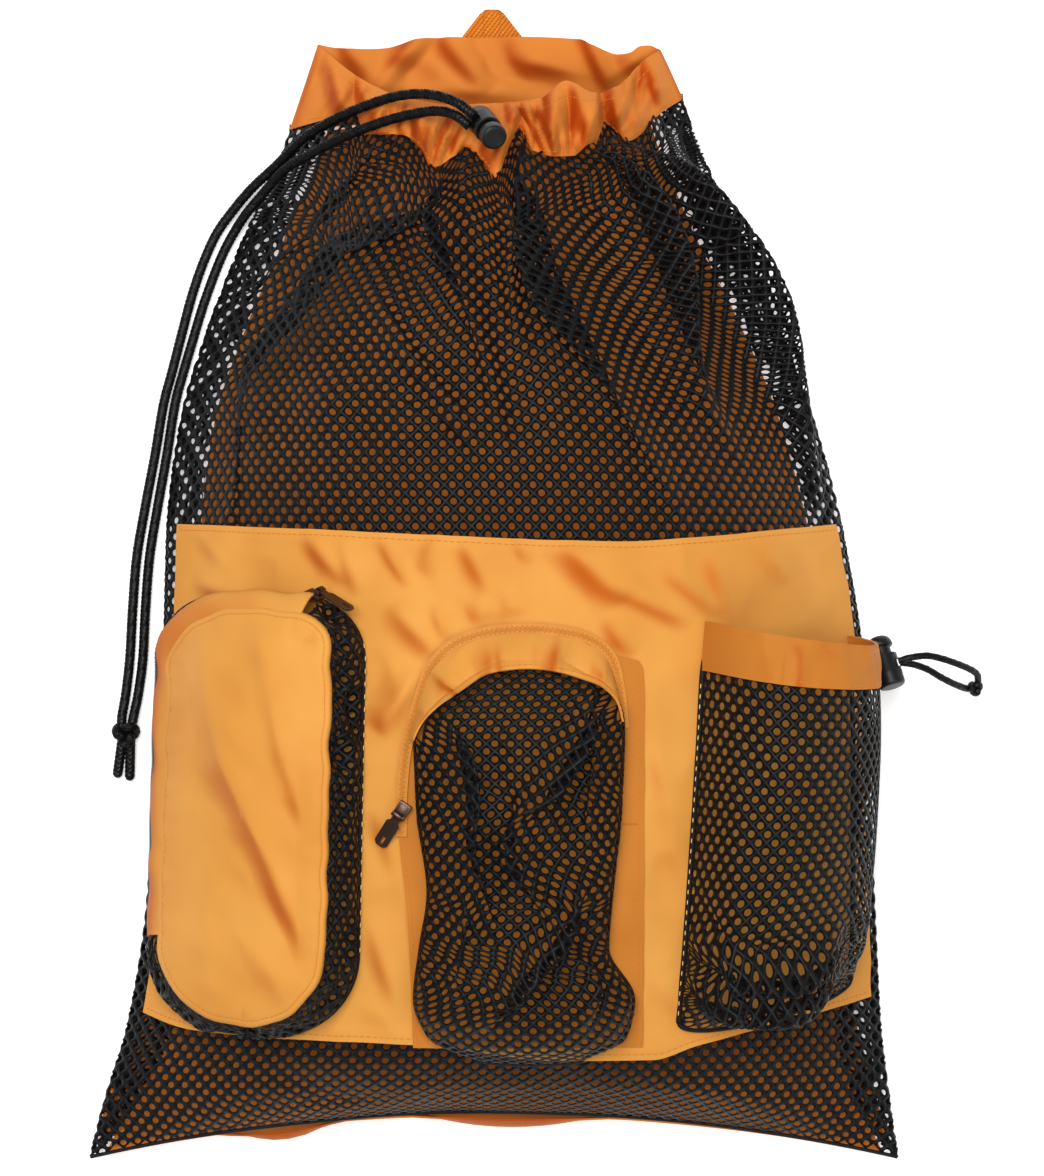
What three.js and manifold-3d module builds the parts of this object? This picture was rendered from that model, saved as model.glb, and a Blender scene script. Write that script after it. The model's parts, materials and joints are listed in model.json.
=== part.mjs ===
// Mesh equipment backpack, lying on its back with its pockets up, in millimetres.
// +X is to the right seen from the front, +Y runs from the bottom seam to the mouth, +Z is up off the floor.
// The origin is on the floor under the middle of the bag.
import * as THREE from "three";
import { mergeVertices } from "three/addons/utils/BufferGeometryUtils.js";
import Module from "manifold-3d";

const wasm = await Module();
wasm.setup();

// Driving dimensions
const MESH_WALL = 1.2;
const NYLON_WALL = 1.0;
const HEM_WALL = 1.8;
const WEBBING_WALL = 1.4;
const STRAP_THICKNESS = 3;
const STRAP_WIDTH = 38;
const SEWN_GAP = 0.4;
const BACK_Z = STRAP_THICKNESS + 0.3 + MESH_WALL / 2;
const DRAWSTRING_DIAMETER = 5.5;
const ELASTIC_DIAMETER = 3.8;

// The sack from the bottom seam up to the collar seam. Each row is one section across the bag:
// y of its sides, bow of its middle, the outline, the height of the front over the floor, how much the
// edges flare, how far the back panel stands in from the outline, the height of the side fold, and the
// share of the collar's gathers that reaches it.
const SACK = [
  { y: -296, bow: 25, left: -210, right: 212, depth: 20, flare: 1.2, inset: 7, fold: 3.9, gather: 0 },
  { y: -284, bow: 22, left: -207, right: 210, depth: 45, flare: 1.2, inset: 11, fold: 3.9, gather: 0 },
  { y: -262, bow: 10, left: -201, right: 207, depth: 64, flare: 1.1, inset: 20, fold: 3.9, gather: 0 },
  { y: -230, bow: 0, left: -191, right: 203, depth: 80, flare: 1.0, inset: 24, fold: 3.9, gather: 0 },
  { y: -170, bow: 0, left: -181, right: 200, depth: 93, flare: 1.0, inset: 22, fold: 3.9, gather: 0 },
  { y: -100, bow: 0, left: -176, right: 197, depth: 100, flare: 1.0, inset: 20, fold: 3.9, gather: 0 },
  { y: -40, bow: 0, left: -172, right: 194, depth: 102, flare: 1.0, inset: 18, fold: 1.7, gather: 0 },
  { y: 31, bow: 0, left: -170, right: 183, depth: 100, flare: 1.0, inset: 18, fold: 1.7, gather: 0 },
  { y: 87, bow: 0, left: -163, right: 168, depth: 95, flare: 1.1, inset: 18, fold: 1.7, gather: 0.08 },
  { y: 134, bow: 0, left: -149.5, right: 150, depth: 89, flare: 1.2, inset: 20, fold: 1.7, gather: 0.22 },
  { y: 181, bow: 0, left: -131.5, right: 127, depth: 80, flare: 1.3, inset: 22, fold: 1.7, gather: 0.45 },
  { y: 215, bow: 0, left: -116.5, right: 111, depth: 70, flare: 1.2, inset: 22, fold: 1.7, gather: 0.8 },
  { y: 240, bow: 0, left: -106, right: 100, depth: 60, flare: 1.0, inset: 20, fold: 1.7, gather: 1 },
];
const FULLNESS = 2.6;
const FOLD_RISE = 4.4;
const BAND_BOTTOM_ROW = 3;
const BAND_TOP_ROW = 7;

// The gathers that the drawstring makes round the mouth, as waves over half the width
const PLEATS_PER_HALF = 3;
const PLEAT_RISE = 9;
const PLEAT_DROP = 15;
const SEAM_SAG = 13;
const SEAM_LEFT = -3;
const SEAM_RIGHT = 14;
const COLUMNS_PER_HALF = 4 * PLEATS_PER_HALF;

// Heights over the middle of the sack's wall, piece on piece
const BAND_LIFT = MESH_WALL / 2 + SEWN_GAP + NYLON_WALL / 2 + 0.2;
const ON_BAND = BAND_LIFT + NYLON_WALL / 2 + SEWN_GAP;
const PANEL_LIFT = ON_BAND + NYLON_WALL / 2;
const ON_PANEL = PANEL_LIFT + NYLON_WALL / 2 + SEWN_GAP;

// The zipped box pocket on the left: the outline of its foot on the band and of its face
const BOX_FOOT = { left: -170, right: -62, bottom: -226, top: -6, lean: 5 };
const BOX_FACE = { left: -164, right: -80, bottom: -219, top: -12, lean: 6 };
const BOX_CORNERS = { topRight: 30, topLeft: 34, bottomLeft: 44, bottomRight: 42 };
const BOX_FACE_CORNERS = { topRight: 24, topLeft: 32, bottomLeft: 42, bottomRight: 38 };
const BOX_DEPTH = 30;
const BOX_CROWN = 6;
const BOX_GUSSET_BULGE = 3;
const BOX_CORNER_STEPS = 5;
const BOX_LONG_SIDE_STEPS = 3;
const BOX_SHORT_SIDE_STEPS = 1;

// The mesh pouch in the middle, from its bottom to its top: outline and rise over the panel under it
const POUCH = [
  { y: -236, left: -6, right: 46, rise: 6 },
  { y: -224, left: -31, right: 67, rise: 20 },
  { y: -206, left: -38, right: 71, rise: 27 },
  { y: -180, left: -35, right: 58, rise: 25 },
  { y: -152, left: -31, right: 60, rise: 24 },
  { y: -110, left: -36, right: 64, rise: 29 },
  { y: -76, left: -37, right: 65, rise: 30 },
  { y: -62, left: -34, right: 62, rise: 27 },
  { y: -50, left: -25, right: 53, rise: 24 },
  { y: -42, left: -11, right: 39, rise: 20 },
];
const POUCH_COLUMNS = 10;
const POUCH_RIM_RISE = 13;
const ARCH = { x: 14, y: -76, halfWidth: 53.3, height: 37.3, power: 2.2 };
const YOKE_WIDTH = { ends: 1.6, top: 15 };
const ZIP_STEP = 3.2;
const POUCH_PANEL = [
  { y: -231, left: -47, right: 77 },
  { y: -170, left: -47, right: 77 },
  { y: -100, left: -47, right: 77 },
  { y: -40, left: -45, right: 75 },
  { y: -24, left: -34, right: 63 },
  { y: -12, left: -14, right: 42 },
];

// The bottle pocket on the right: where its two edges are sewn on, and how far it bulges
const BOTTLE = [
  { leftY: -219, rightY: -202, left: 94, right: 183, bulge: 0 },
  { leftY: -208, rightY: -192, left: 94.5, right: 183, bulge: 23 },
  { leftY: -184, rightY: -172, left: 96.5, right: 184, bulge: 43 },
  { leftY: -130, rightY: -126, left: 100, right: 184, bulge: 54 },
  { leftY: -80, rightY: -80, left: 103, right: 184, bulge: 57 },
  { leftY: -43, rightY: -47, left: 105, right: 183, bulge: 57 },
];
const BOTTLE_HEM = [
  { leftY: -41.6, rightY: -45.6, left: 105, right: 183, bulge: 57 },
  { leftY: -29, rightY: -36, left: 106, right: 183, bulge: 56 },
  { leftY: -17, rightY: -25, left: 107, right: 182, bulge: 54 },
];
const BOTTLE_COLUMNS = 14;
const BOTTLE_BOXINESS = 0.8;
const HEM_DIP = 7;
const BOTTLE_LIFT = 0.4;

// The collar: rows from its seam to its top edge, as shares of the way up
const COLLAR_ROWS = [0, 0.34, 0.7, 1];
const COLLAR_TOP = {
  left: -90, right: 87, sideY: 283, backY: 285, frontY: 261, frontZ: 47, sideZ: 15, backZ: 11.5,
};
const COLLAR_BACK_COLUMNS = 8;
const COLLAR_PUFF = 6;
const COLLAR_BACK_PUFF = 2;
const COLLAR_GAP = 1.8;

const HAUL_LOOP = {
  baseY: 249, apexY: 297.5, taperY: 282, lowZ: 0.9, highZ: 7.6, sewnZ: 2.4, baseWidth: 36, apexWidth: 12,
};
const STRAP = { topY: 234, bottomY: -286, topX: 45, bottomX: 187 };

// Cord locks: a barrel, closed at its foot, and a plunger that slides in it
const LOCK = {
  radius: 7, half: 8.5, bore: 5.2, floor: -5.5, stem: 4.8, stemFoot: -1, headFoot: 12.8, headTop: 19,
};
const LOCK_HEAD_RADIUS = 6.6;
const LOCK_SIDES = 16;
const LOCK_SLOT = { width: 8, low: 0.5, high: 5.5, stemWidth: 6.4, stemLow: 1.2, stemHigh: 5 };
const TOP_LOCK = { at: [-4, 235, 75.3], axis: [0.32, -0.47, 0.82], exit: [-0.86, 0.31, 0.41] };
const BOTTLE_LOCK = { at: [203.7, -43, 38], axis: [-0.27, 0.92, -0.28], exit: [0.86, 0.5, 0.1] };

// Free cords: points along each middle line, from the lock to the knot
const DRAWSTRING_UPPER = [
  [-8.3, 238.2, 82.5], [-18, 245.5, 79], [-32.4, 250.4, 69.5], [-48.7, 250.4, 59], [-68.4, 245.2, 48],
  [-85, 238.6, 37.5], [-97.5, 231.8, 27.5], [-111, 219.7, 17.5], [-125, 207.6, 10.2], [-135, 196.6, 5.4],
  [-143.6, 184.9, 3.2], [-150.5, 169.9, 3.1], [-156.3, 153.2, 3.1], [-161.6, 133.4, 3.1],
  [-166.8, 113.1, 3.1], [-171, 97.4, 3.1], [-175.8, 69.3, 3.1], [-181, 41.7, 3.1], [-185.3, 16.2, 3.1],
  [-187.5, -11.5, 3.1], [-189, -37.6, 3.1], [-191.1, -55.8, 3.2], [-193, -67.6, 4.2],
];
const DRAWSTRING_LOWER = [
  [-11, 233.2, 80.7], [-17.5, 238.5, 78.6], [-26, 241.4, 73.4], [-40.5, 240.7, 65], [-57, 237.2, 55.8],
  [-73.7, 231.7, 47.4], [-90.6, 224.7, 35.8], [-107.7, 216.2, 21], [-119, 204.6, 13], [-127.6, 195, 8.8],
  [-134, 186, 4.6], [-140.4, 174.2, 3.1], [-149.8, 149.8, 3.1], [-156.6, 127.4, 3.1], [-160.8, 113, 3.1],
  [-165, 97.4, 3.1], [-169.6, 69.3, 3.1], [-174.5, 41.7, 3.1], [-178.6, 16.2, 3.1], [-180.8, -11.5, 3.1],
  [-182.2, -37.6, 3.1], [-184.8, -56.8, 3.2], [-187.2, -68.5, 4.4],
];
const DRAWSTRING_KNOT = { at: [-190.6, -76, 6.4], radii: [7.4, 8, 6] };
const DRAWSTRING_TAILS = [
  { start: [-193.8, -83.7, 4.4], end: [-195.6, -99, 3.2] },
  { start: [-187.8, -84.1, 4.4], end: [-189, -100.5, 3.2] },
];
const ELASTIC_UPPER = [
  [208.9, -37.6, 40.2], [214.6, -35.8, 40.8], [224, -34.8, 38], [232, -36.4, 33.6], [240, -39, 27.4],
  [247.2, -41.8, 20], [251.8, -44.6, 13.2], [253, -47.8, 7.7],
];
const ELASTIC_LOWER = [
  [210.2, -38.4, 36.4], [215.8, -39, 36], [224.4, -41.8, 31.4], [231.5, -45.8, 26], [238.5, -49.2, 19],
  [244, -51.4, 11.6], [246.6, -52.2, 6.8],
];
const ELASTIC_KNOT = { at: [251.8, -52.2, 4.7], radii: [4.6, 4.2, 4.2] };
const KNOT_SIDES = 10;
const CORD_SIDES = 8;
const STEPS_PER_DIAMETER = 0.4;

// Zip sliders and their pull tabs
const SLIDER = { length: 9, width: 7, height: 3, earHeight: 2.6, earWidth: 1.1, pinRadius: 0.7 };
const PULL = {
  length: 20, width: 7.4, neckWidth: 4.4, neckLength: 4, thickness: 1.2, eyeOuter: 1.9, eyeInner: 1.05,
  hole: { length: 5, width: 2.2 },
};
const BOX_SLIDER_OUT = 3.2;
const BOX_PULL_DROOP = 0.15;
const POUCH_PULL_DROOP = 0.3;
const POUCH_SLIDER = { at: [-44.6, -113], lift: ON_PANEL + 1.8, heading: -2.18 };
const PIN_HEIGHT = SLIDER.height + 1.7;

// Materials
const nylon = new THREE.MeshStandardMaterial({ color: 0xf0872b, roughness: 0.5, metalness: 0 });
const netting = new THREE.MeshStandardMaterial({ color: 0x17181a, roughness: 0.75, metalness: 0 });
const webbing = new THREE.MeshStandardMaterial({ color: 0xe8741c, roughness: 0.7, metalness: 0 });
const cordBlack = new THREE.MeshStandardMaterial({ color: 0x121212, roughness: 0.8, metalness: 0 });
const hardPlastic = new THREE.MeshStandardMaterial({ color: 0x1b1b1d, roughness: 0.45, metalness: 0 });
const darkMetal = new THREE.MeshStandardMaterial({ color: 0x2a1a16, roughness: 0.35, metalness: 0.8 });
const zipBlack = new THREE.MeshStandardMaterial({ color: 0x141414, roughness: 0.6, metalness: 0 });
const zipOrange = new THREE.MeshStandardMaterial({ color: 0xf08a1e, roughness: 0.55, metalness: 0 });

// Numbers between the rows of a table, without overshoot
function rowAt(table, key, value) {
  const last = table.length - 1;
  const at = Math.min(Math.max(value, table[0][key]), table[last][key]);
  let i = 0;
  while (i < last - 1 && at > table[i + 1][key]) i++;
  const span = (k) => table[k + 1][key] - table[k][key];
  const slope = (k, name) => (table[k + 1][name] - table[k][name]) / span(k);
  const tangent = (k, name) => {
    if (k === 0 || k === last) return slope(k === 0 ? 0 : last - 1, name);
    const before = slope(k - 1, name);
    const after = slope(k, name);
    return before * after > 0 ? (2 * before * after) / (before + after) : 0;
  };
  const t = (at - table[i][key]) / span(i);
  const made = {};
  for (const name of Object.keys(table[i])) {
    const a = table[i][name];
    const b = table[i + 1][name];
    const ta = tangent(i, name) * span(i);
    const tb = tangent(i + 1, name) * span(i);
    made[name] = a + (b - a) * t * t * (3 - 2 * t) + ta * t * (1 - t) * (1 - t) - tb * t * t * (1 - t);
  }
  made[key] = at;
  return made;
}

const wave = (s) => Math.cos(2 * Math.PI * PLEATS_PER_HALF * s);
const inside = (s) => Math.sqrt(Math.max(0, 1 - s * s));
const bulgeOf = (s, row) => Math.pow(Math.max(0, 1 - Math.pow(Math.abs(s), FULLNESS)), row.flare);

// How far the collar seam stands from its plain height, at s from -1 on the left to 1 on the right
function seamShift(s) {
  const slope = SEAM_LEFT + ((SEAM_RIGHT - SEAM_LEFT) * (s + 1)) / 2;
  return slope - (SEAM_SAG + (SEAM_LEFT + SEAM_RIGHT) / 2) * (1 - s * s) - PLEAT_DROP * wave(s) * inside(s);
}

// The middle of the sack's front wall
function frontOfRow(s, row) {
  const middle = (row.left + row.right) / 2;
  const half = (row.right - row.left) / 2 - 1;
  const edge = row.fold + FOLD_RISE;
  return new THREE.Vector3(
    middle + half * s,
    row.y + row.bow * (1 - s * s) + row.gather * seamShift(s),
    edge + (row.depth - edge) * bulgeOf(s, row) + row.gather * PLEAT_RISE * wave(s) * inside(s),
  );
}

// The point of the front over a place in plan, raised along the wall's own normal
function frontAt(x, y, lift = 0) {
  const height = (px, py) => {
    const row = rowAt(SACK, "y", py);
    const s = (px - (row.left + row.right) / 2) / ((row.right - row.left) / 2 - 1);
    const edge = row.fold + FOLD_RISE;
    return edge + (row.depth - edge) * bulgeOf(s, row);
  };
  const step = 0.5;
  const z = height(x, y);
  const normal = new THREE.Vector3(
    (height(x - step, y) - height(x + step, y)) / (2 * step),
    (height(x, y - step) - height(x, y + step)) / (2 * step),
    1,
  ).normalize();
  return new THREE.Vector3(x, y, z).addScaledVector(normal, lift);
}

// A surface from rows of points, open or closed round each row
function gridSurface(rows, closed = false) {
  const across = rows[0].length;
  const points = rows.flat();
  const faces = [];
  for (let r = 0; r + 1 < rows.length; r++) {
    for (let c = 0; c + (closed ? 0 : 1) < across; c++) {
      const next = (c + 1) % across;
      const a = r * across + c;
      const b = r * across + next;
      const d = (r + 1) * across + c;
      const e = (r + 1) * across + next;
      faces.push([a, b, e], [a, e, d]);
    }
  }
  return { points, faces };
}

// A surface from closed rings round one middle point, the outer ring first
function diskSurface(rings, middle) {
  const made = gridSurface(rings, true);
  const across = rings[0].length;
  const first = (rings.length - 1) * across;
  made.points = [...made.points, middle];
  for (let c = 0; c < across; c++) {
    made.faces.push([first + c, first + ((c + 1) % across), made.points.length - 1]);
  }
  return made;
}

// A closed wall of even thickness whose middle is the surface
function wallGeometry({ points, faces }, thickness) {
  const normals = points.map(() => new THREE.Vector3());
  const edges = new Map();
  for (const [a, b, c] of faces) {
    const n = points[b].clone().sub(points[a]).cross(points[c].clone().sub(points[a]));
    for (const i of [a, b, c]) normals[i].add(n);
    for (const [i, j] of [[a, b], [b, c], [c, a]]) edges.set(`${i},${j}`, [i, j]);
  }
  normals.forEach((n) => n.setLength(thickness / 2));
  const count = points.length;
  const outer = points.map((p, i) => p.clone().add(normals[i]));
  const inner = points.map((p, i) => p.clone().sub(normals[i]));
  const layers = [...outer, ...inner];
  const triangles = [...faces, ...faces.map(([a, b, c]) => [a + count, c + count, b + count])];
  for (const [i, j] of edges.values()) {
    if (edges.has(`${j},${i}`)) continue;
    triangles.push([j, i, i + count], [j, i + count, j + count]);
  }
  const geometry = new THREE.BufferGeometry();
  geometry.setAttribute("position", new THREE.Float32BufferAttribute(layers.flatMap((p) => p.toArray()), 3));
  geometry.setIndex(triangles.flat());
  geometry.computeVertexNormals();
  return geometry;
}

function solidOf(geometry) {
  const bare = geometry.clone();
  bare.deleteAttribute("normal");
  bare.deleteAttribute("uv");
  const merged = mergeVertices(bare, 1e-4);
  return new wasm.Manifold(
    new wasm.Mesh({
      numProp: 3,
      vertProperties: new Float32Array(merged.attributes.position.array),
      triVerts: new Uint32Array(merged.index.array),
    }),
  );
}

function geometryOf(solid) {
  const made = solid.getMesh();
  const geometry = new THREE.BufferGeometry();
  geometry.setAttribute("position", new THREE.Float32BufferAttribute(made.vertProperties, 3));
  geometry.setIndex([...made.triVerts]);
  return geometry;
}

const joined = (...geometries) => geometryOf(geometries.map(solidOf).reduce((a, b) => a.add(b)));
const cut = (geometry, ...tools) =>
  geometryOf(tools.map(solidOf).reduce((a, b) => a.subtract(b), solidOf(geometry)));

const bag = new THREE.Group();

function add(name, geometry, material, parent = bag) {
  const mesh = new THREE.Mesh(geometry, material);
  mesh.name = name;
  parent.add(mesh);
  return mesh;
}

const columnsOfFront = Array.from({ length: 2 * COLUMNS_PER_HALF + 1 }, (_, i) => i / COLUMNS_PER_HALF - 1);

// The netting of the sack: a return on the back, the side fold, the front, and the same on the other side
function sackRow(row) {
  const front = columnsOfFront.map((s) => frontOfRow(s, row));
  const leftCorner = front[0];
  const rightCorner = front[front.length - 1];
  const slope = (rightCorner.y - leftCorner.y) / (rightCorner.x - leftCorner.x);
  const sideOf = (corner, outline, inwards) => {
    const seamX = outline + inwards * row.inset;
    return [
      new THREE.Vector3(seamX, corner.y + slope * (seamX - corner.x), BACK_Z),
      new THREE.Vector3(outline + inwards * 4, corner.y, row.fold),
      new THREE.Vector3(outline, corner.y, row.fold + FOLD_RISE / 2),
    ];
  };
  const leftSide = sideOf(leftCorner, row.left, 1);
  const rightSide = sideOf(rightCorner, row.right, -1);
  return [...leftSide, ...front, ...rightSide.reverse()];
}
add("mesh_body", wallGeometry(gridSurface(SACK.map(sackRow)), MESH_WALL), netting);

// The back panel, flat on the straps, with its lower edge turned up to the bottom seam
function backRow(row, index) {
  const columns = 8;
  const turn = [1, 0.45][index] ?? 0;
  const outwards = [1.8, 9][index] ?? 0;
  const leftCorner = frontOfRow(-1, row);
  const rightCorner = frontOfRow(1, row);
  const reach = (row.right - row.left) / 2 - row.inset - SEWN_GAP;
  return Array.from({ length: columns + 1 }, (_, i) => {
    const t = (2 * i) / columns - 1;
    const x = (row.left + row.right) / 2 + reach * t;
    const across = (x - leftCorner.x) / (rightCorner.x - leftCorner.x);
    const seam = frontOfRow(2 * across - 1, SACK[0]);
    const middle = 1 - t * t;
    const y = leftCorner.y + (rightCorner.y - leftCorner.y) * across + (row.bow - outwards) * middle;
    return new THREE.Vector3(x, y, BACK_Z + turn * (seam.z - BACK_Z) * middle);
  });
}
add("back_panel", wallGeometry(gridSurface(SACK.map(backRow)), NYLON_WALL), nylon);

// The front band that carries the pockets, sewn over the netting
const bandColumns = [-0.955, ...columnsOfFront.slice(1, -1), 0.97];
const bandRows = SACK.slice(BAND_BOTTOM_ROW, BAND_TOP_ROW + 1).map((row) =>
  bandColumns.map((s) => {
    const p = frontOfRow(s, row);
    return frontAt(p.x, p.y, BAND_LIFT);
  }),
);
add("front_band", wallGeometry(gridSurface(bandRows), NYLON_WALL), nylon);

// A closed outline with four round corners, from the right side round over the top, leaning as it goes down
function roundedOutline(box, corners) {
  const places = [
    { x: box.right, y: box.top, r: corners.topRight, inX: -1, inY: -1, between: BOX_SHORT_SIDE_STEPS },
    { x: box.left, y: box.top, r: corners.topLeft, inX: 1, inY: -1, between: BOX_LONG_SIDE_STEPS },
    { x: box.left, y: box.bottom, r: corners.bottomLeft, inX: 1, inY: 1, between: BOX_SHORT_SIDE_STEPS },
    { x: box.right, y: box.bottom, r: corners.bottomRight, inX: -1, inY: 1, between: BOX_LONG_SIDE_STEPS },
  ];
  const onCorner = ({ x, y, r, inX, inY }, quarter, share) => {
    const angle = (Math.PI / 2) * (quarter + share);
    return new THREE.Vector2(x + inX * r + r * Math.cos(angle), y + inY * r + r * Math.sin(angle));
  };
  const outline = places.flatMap((place, quarter) => {
    const steps = Array.from({ length: BOX_CORNER_STEPS }, (_, i) => i / (BOX_CORNER_STEPS - 1));
    const corner = steps.map((share) => onCorner(place, quarter, share));
    const next = onCorner(places[(quarter + 1) % 4], quarter + 1, 0);
    const side = Array.from({ length: place.between }, (_, i) =>
      corner[corner.length - 1].clone().lerp(next, (i + 1) / (place.between + 1)),
    );
    return [...corner, ...side];
  });
  outline.forEach((p) => (p.x += (box.lean * (p.y - box.top)) / (box.top - box.bottom)));
  return outline;
}
const boxFoot = roundedOutline(BOX_FOOT, BOX_CORNERS);
const boxRim = roundedOutline(BOX_FACE, BOX_FACE_CORNERS);
const boxMiddle = new THREE.Vector2(
  (BOX_FACE.left + BOX_FACE.right - BOX_FACE.lean) / 2,
  (BOX_FACE.top + BOX_FACE.bottom) / 2,
);

const faceHeight = (p, share) => frontAt(p.x, p.y).z + ON_BAND + BOX_DEPTH + BOX_CROWN * (1 - share * share);
const boxFaceRings = [1, 0.72, 0.4].map((share) =>
  boxRim.map((p) => {
    const q = boxMiddle.clone().lerp(p, share);
    return new THREE.Vector3(q.x, q.y, faceHeight(q, share));
  }),
);
const boxFaceMiddle = new THREE.Vector3(boxMiddle.x, boxMiddle.y, faceHeight(boxMiddle, 0));
add("box_pocket_face", wallGeometry(diskSurface(boxFaceRings, boxFaceMiddle), NYLON_WALL), nylon);

// The gusset of the box pocket between foot and face, at a share of its height
const boxCount = boxFoot.length;
function gussetPoint(i, share, outwards = 0) {
  const k = (i + boxCount) % boxCount;
  const along = boxRim[(k + 1) % boxCount].clone().sub(boxRim[(k + boxCount - 1) % boxCount]).normalize();
  const foot = frontAt(boxFoot[k].x, boxFoot[k].y, ON_BAND + MESH_WALL / 2 + 0.3);
  const rimZ = faceHeight(boxRim[k], 1) - NYLON_WALL / 2 - SEWN_GAP - 0.5;
  const p = foot.lerp(new THREE.Vector3(boxRim[k].x, boxRim[k].y, rimZ), share);
  const bulge = BOX_GUSSET_BULGE * 4 * share * (1 - share) + outwards;
  return new THREE.Vector3(p.x + along.y * bulge, p.y - along.x * bulge, p.z);
}
function gussetWall(first, last, shares, outwards, thickness) {
  const indices = Array.from({ length: last - first + 1 }, (_, i) => first + i);
  const rows = shares.map((share) => indices.map((i) => gussetPoint(i, share, outwards)));
  return wallGeometry(gridSurface(rows), thickness);
}
const topRightEnd = BOX_CORNER_STEPS - 2;
const bottomLeftEnd = 2 * BOX_CORNER_STEPS + BOX_SHORT_SIDE_STEPS + BOX_LONG_SIDE_STEPS;
const roundAgain = boxCount;

// Fabric runs over the top and down the left, netting along the bottom and up the right
const fabricGusset = gussetWall(topRightEnd, bottomLeftEnd, [0, 0.5, 1], 0, NYLON_WALL);
add("box_pocket_fabric_side", fabricGusset, nylon);

// The two gussets meet end to end, so the netting one stops a little short of the shared places
function nettingGusset() {
  const count = topRightEnd + roundAgain - bottomLeftEnd + 1;
  const indices = Array.from({ length: count }, (_, i) => bottomLeftEnd + i);
  const rows = [0, 0.5, 1].map((share) => {
    const row = indices.map((i) => gussetPoint(i, share));
    const trim = (a, b) => a.clone().addScaledVector(b.clone().sub(a).normalize(), 2 * SEWN_GAP);
    return [trim(row[0], row[1]), ...row.slice(1, -1), trim(row[row.length - 1], row[row.length - 2])];
  });
  return wallGeometry(gridSurface(rows), MESH_WALL);
}
add("box_pocket_mesh_side", nettingGusset(), netting);

const zipOut = NYLON_WALL + 2 * SEWN_GAP;
const boxZip = gussetWall(topRightEnd, bottomLeftEnd, [0.42, 0.62], zipOut, NYLON_WALL);
add("box_pocket_zip", boxZip, zipBlack);

// The panel behind the pouch
const panelRows = POUCH_PANEL.map((row) =>
  Array.from({ length: 9 }, (_, i) => {
    const x = row.left + ((row.right - row.left) * i) / 8;
    return frontAt(x, row.y, PANEL_LIFT);
  }),
);
add("pouch_panel", wallGeometry(gridSurface(panelRows), NYLON_WALL), nylon);

// The pouch: netting that stands up off the panel, with its top edge carried by a nylon yoke
const rimShare = (y) => THREE.MathUtils.smoothstep(y, -100, -42);
const pouchRimLift = (y) => ON_PANEL + MESH_WALL / 2 + 0.3 + POUCH_RIM_RISE * rimShare(y);
const pouchRows = POUCH.map((row) =>
  Array.from({ length: POUCH_COLUMNS + 1 }, (_, i) => {
    const angle = (Math.PI * i) / POUCH_COLUMNS;
    const x = (row.left + row.right) / 2 - ((row.right - row.left) / 2) * Math.cos(angle);
    const rim = pouchRimLift(row.y);
    const rise = (row.rise - POUCH_RIM_RISE * rimShare(row.y)) * Math.pow(Math.sin(angle), 0.8);
    return frontAt(x, row.y, rim + rise);
  }),
);
add("pouch_mesh", wallGeometry(gridSurface(pouchRows), MESH_WALL), netting);

// A place on the arch round the pouch's top, from its left foot at 0 to its right foot at 1
function archAt(f, outwards) {
  const angle = Math.PI * (1 - f);
  const round = (v) => Math.sign(v) * Math.pow(Math.abs(v), 2 / ARCH.power);
  const x = ARCH.x + (ARCH.halfWidth + outwards) * round(Math.cos(angle));
  return { x, y: ARCH.y + (ARCH.height + outwards) * round(Math.sin(angle)) };
}
const yokeWidth = (f) => YOKE_WIDTH.ends + (YOKE_WIDTH.top - YOKE_WIDTH.ends) * Math.sin(Math.PI * f);
const archSteps = Array.from({ length: 15 }, (_, i) => i / 14);
const yokeRows = [1, 0.5, 0].map((share) =>
  archSteps.map((f) => {
    const { x, y } = archAt(f, share * yokeWidth(f));
    const foot = ON_PANEL + NYLON_WALL / 2 + 0.2;
    const rim = pouchRimLift(y) - 0.6;
    return frontAt(x, y, foot + (rim - foot) * (1 - share * share));
  }),
);
add("pouch_yoke", wallGeometry(gridSurface(yokeRows.reverse()), NYLON_WALL), nylon);

// The zip of the pouch: up its left side and over the arch
const zipPath = [
  { x: archAt(0, yokeWidth(0) + ZIP_STEP).x, y: -124 },
  { x: archAt(0, yokeWidth(0) + ZIP_STEP).x, y: -100 },
  ...archSteps.map((f) => archAt(f, yokeWidth(f) + ZIP_STEP)),
];
const zipRows = zipPath.map((p, i) => {
  const before = zipPath[Math.max(0, i - 1)];
  const after = zipPath[Math.min(zipPath.length - 1, i + 1)];
  const along = new THREE.Vector2(after.x - before.x, after.y - before.y).normalize();
  return [-2, 2].map((w) => frontAt(p.x - along.y * w, p.y + along.x * w, ON_PANEL + 0.8));
});
add("pouch_zip", wallGeometry(gridSurface(zipRows.map((r) => r.reverse())), 1.4), zipOrange);

// The bottle pocket and its hem: an arch over the band, at a share of the way from left to right
function bottlePoint(row, share, dip) {
  const lift = ON_BAND + MESH_WALL / 2 + 0.2;
  const boxy = (v) => Math.sign(v) * Math.pow(Math.abs(v), BOTTLE_BOXINESS);
  const angle = Math.PI * share;
  const across = (1 - boxy(Math.cos(angle))) / 2;
  const between = (a, b) => a + (b - a) * across;
  const chord = frontAt(row.right, row.rightY).sub(frontAt(row.left, row.leftY));
  const out = new THREE.Vector3(-chord.z, 0, chord.x).normalize();
  out.z += BOTTLE_LIFT;
  out.normalize();
  const p = frontAt(between(row.left, row.right), between(row.leftY, row.rightY), lift);
  p.addScaledVector(out, row.bulge * boxy(Math.sin(angle)));
  p.y -= dip * Math.sin(angle);
  return p;
}
const bottleShares = Array.from({ length: BOTTLE_COLUMNS + 1 }, (_, i) => i / BOTTLE_COLUMNS);
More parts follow.
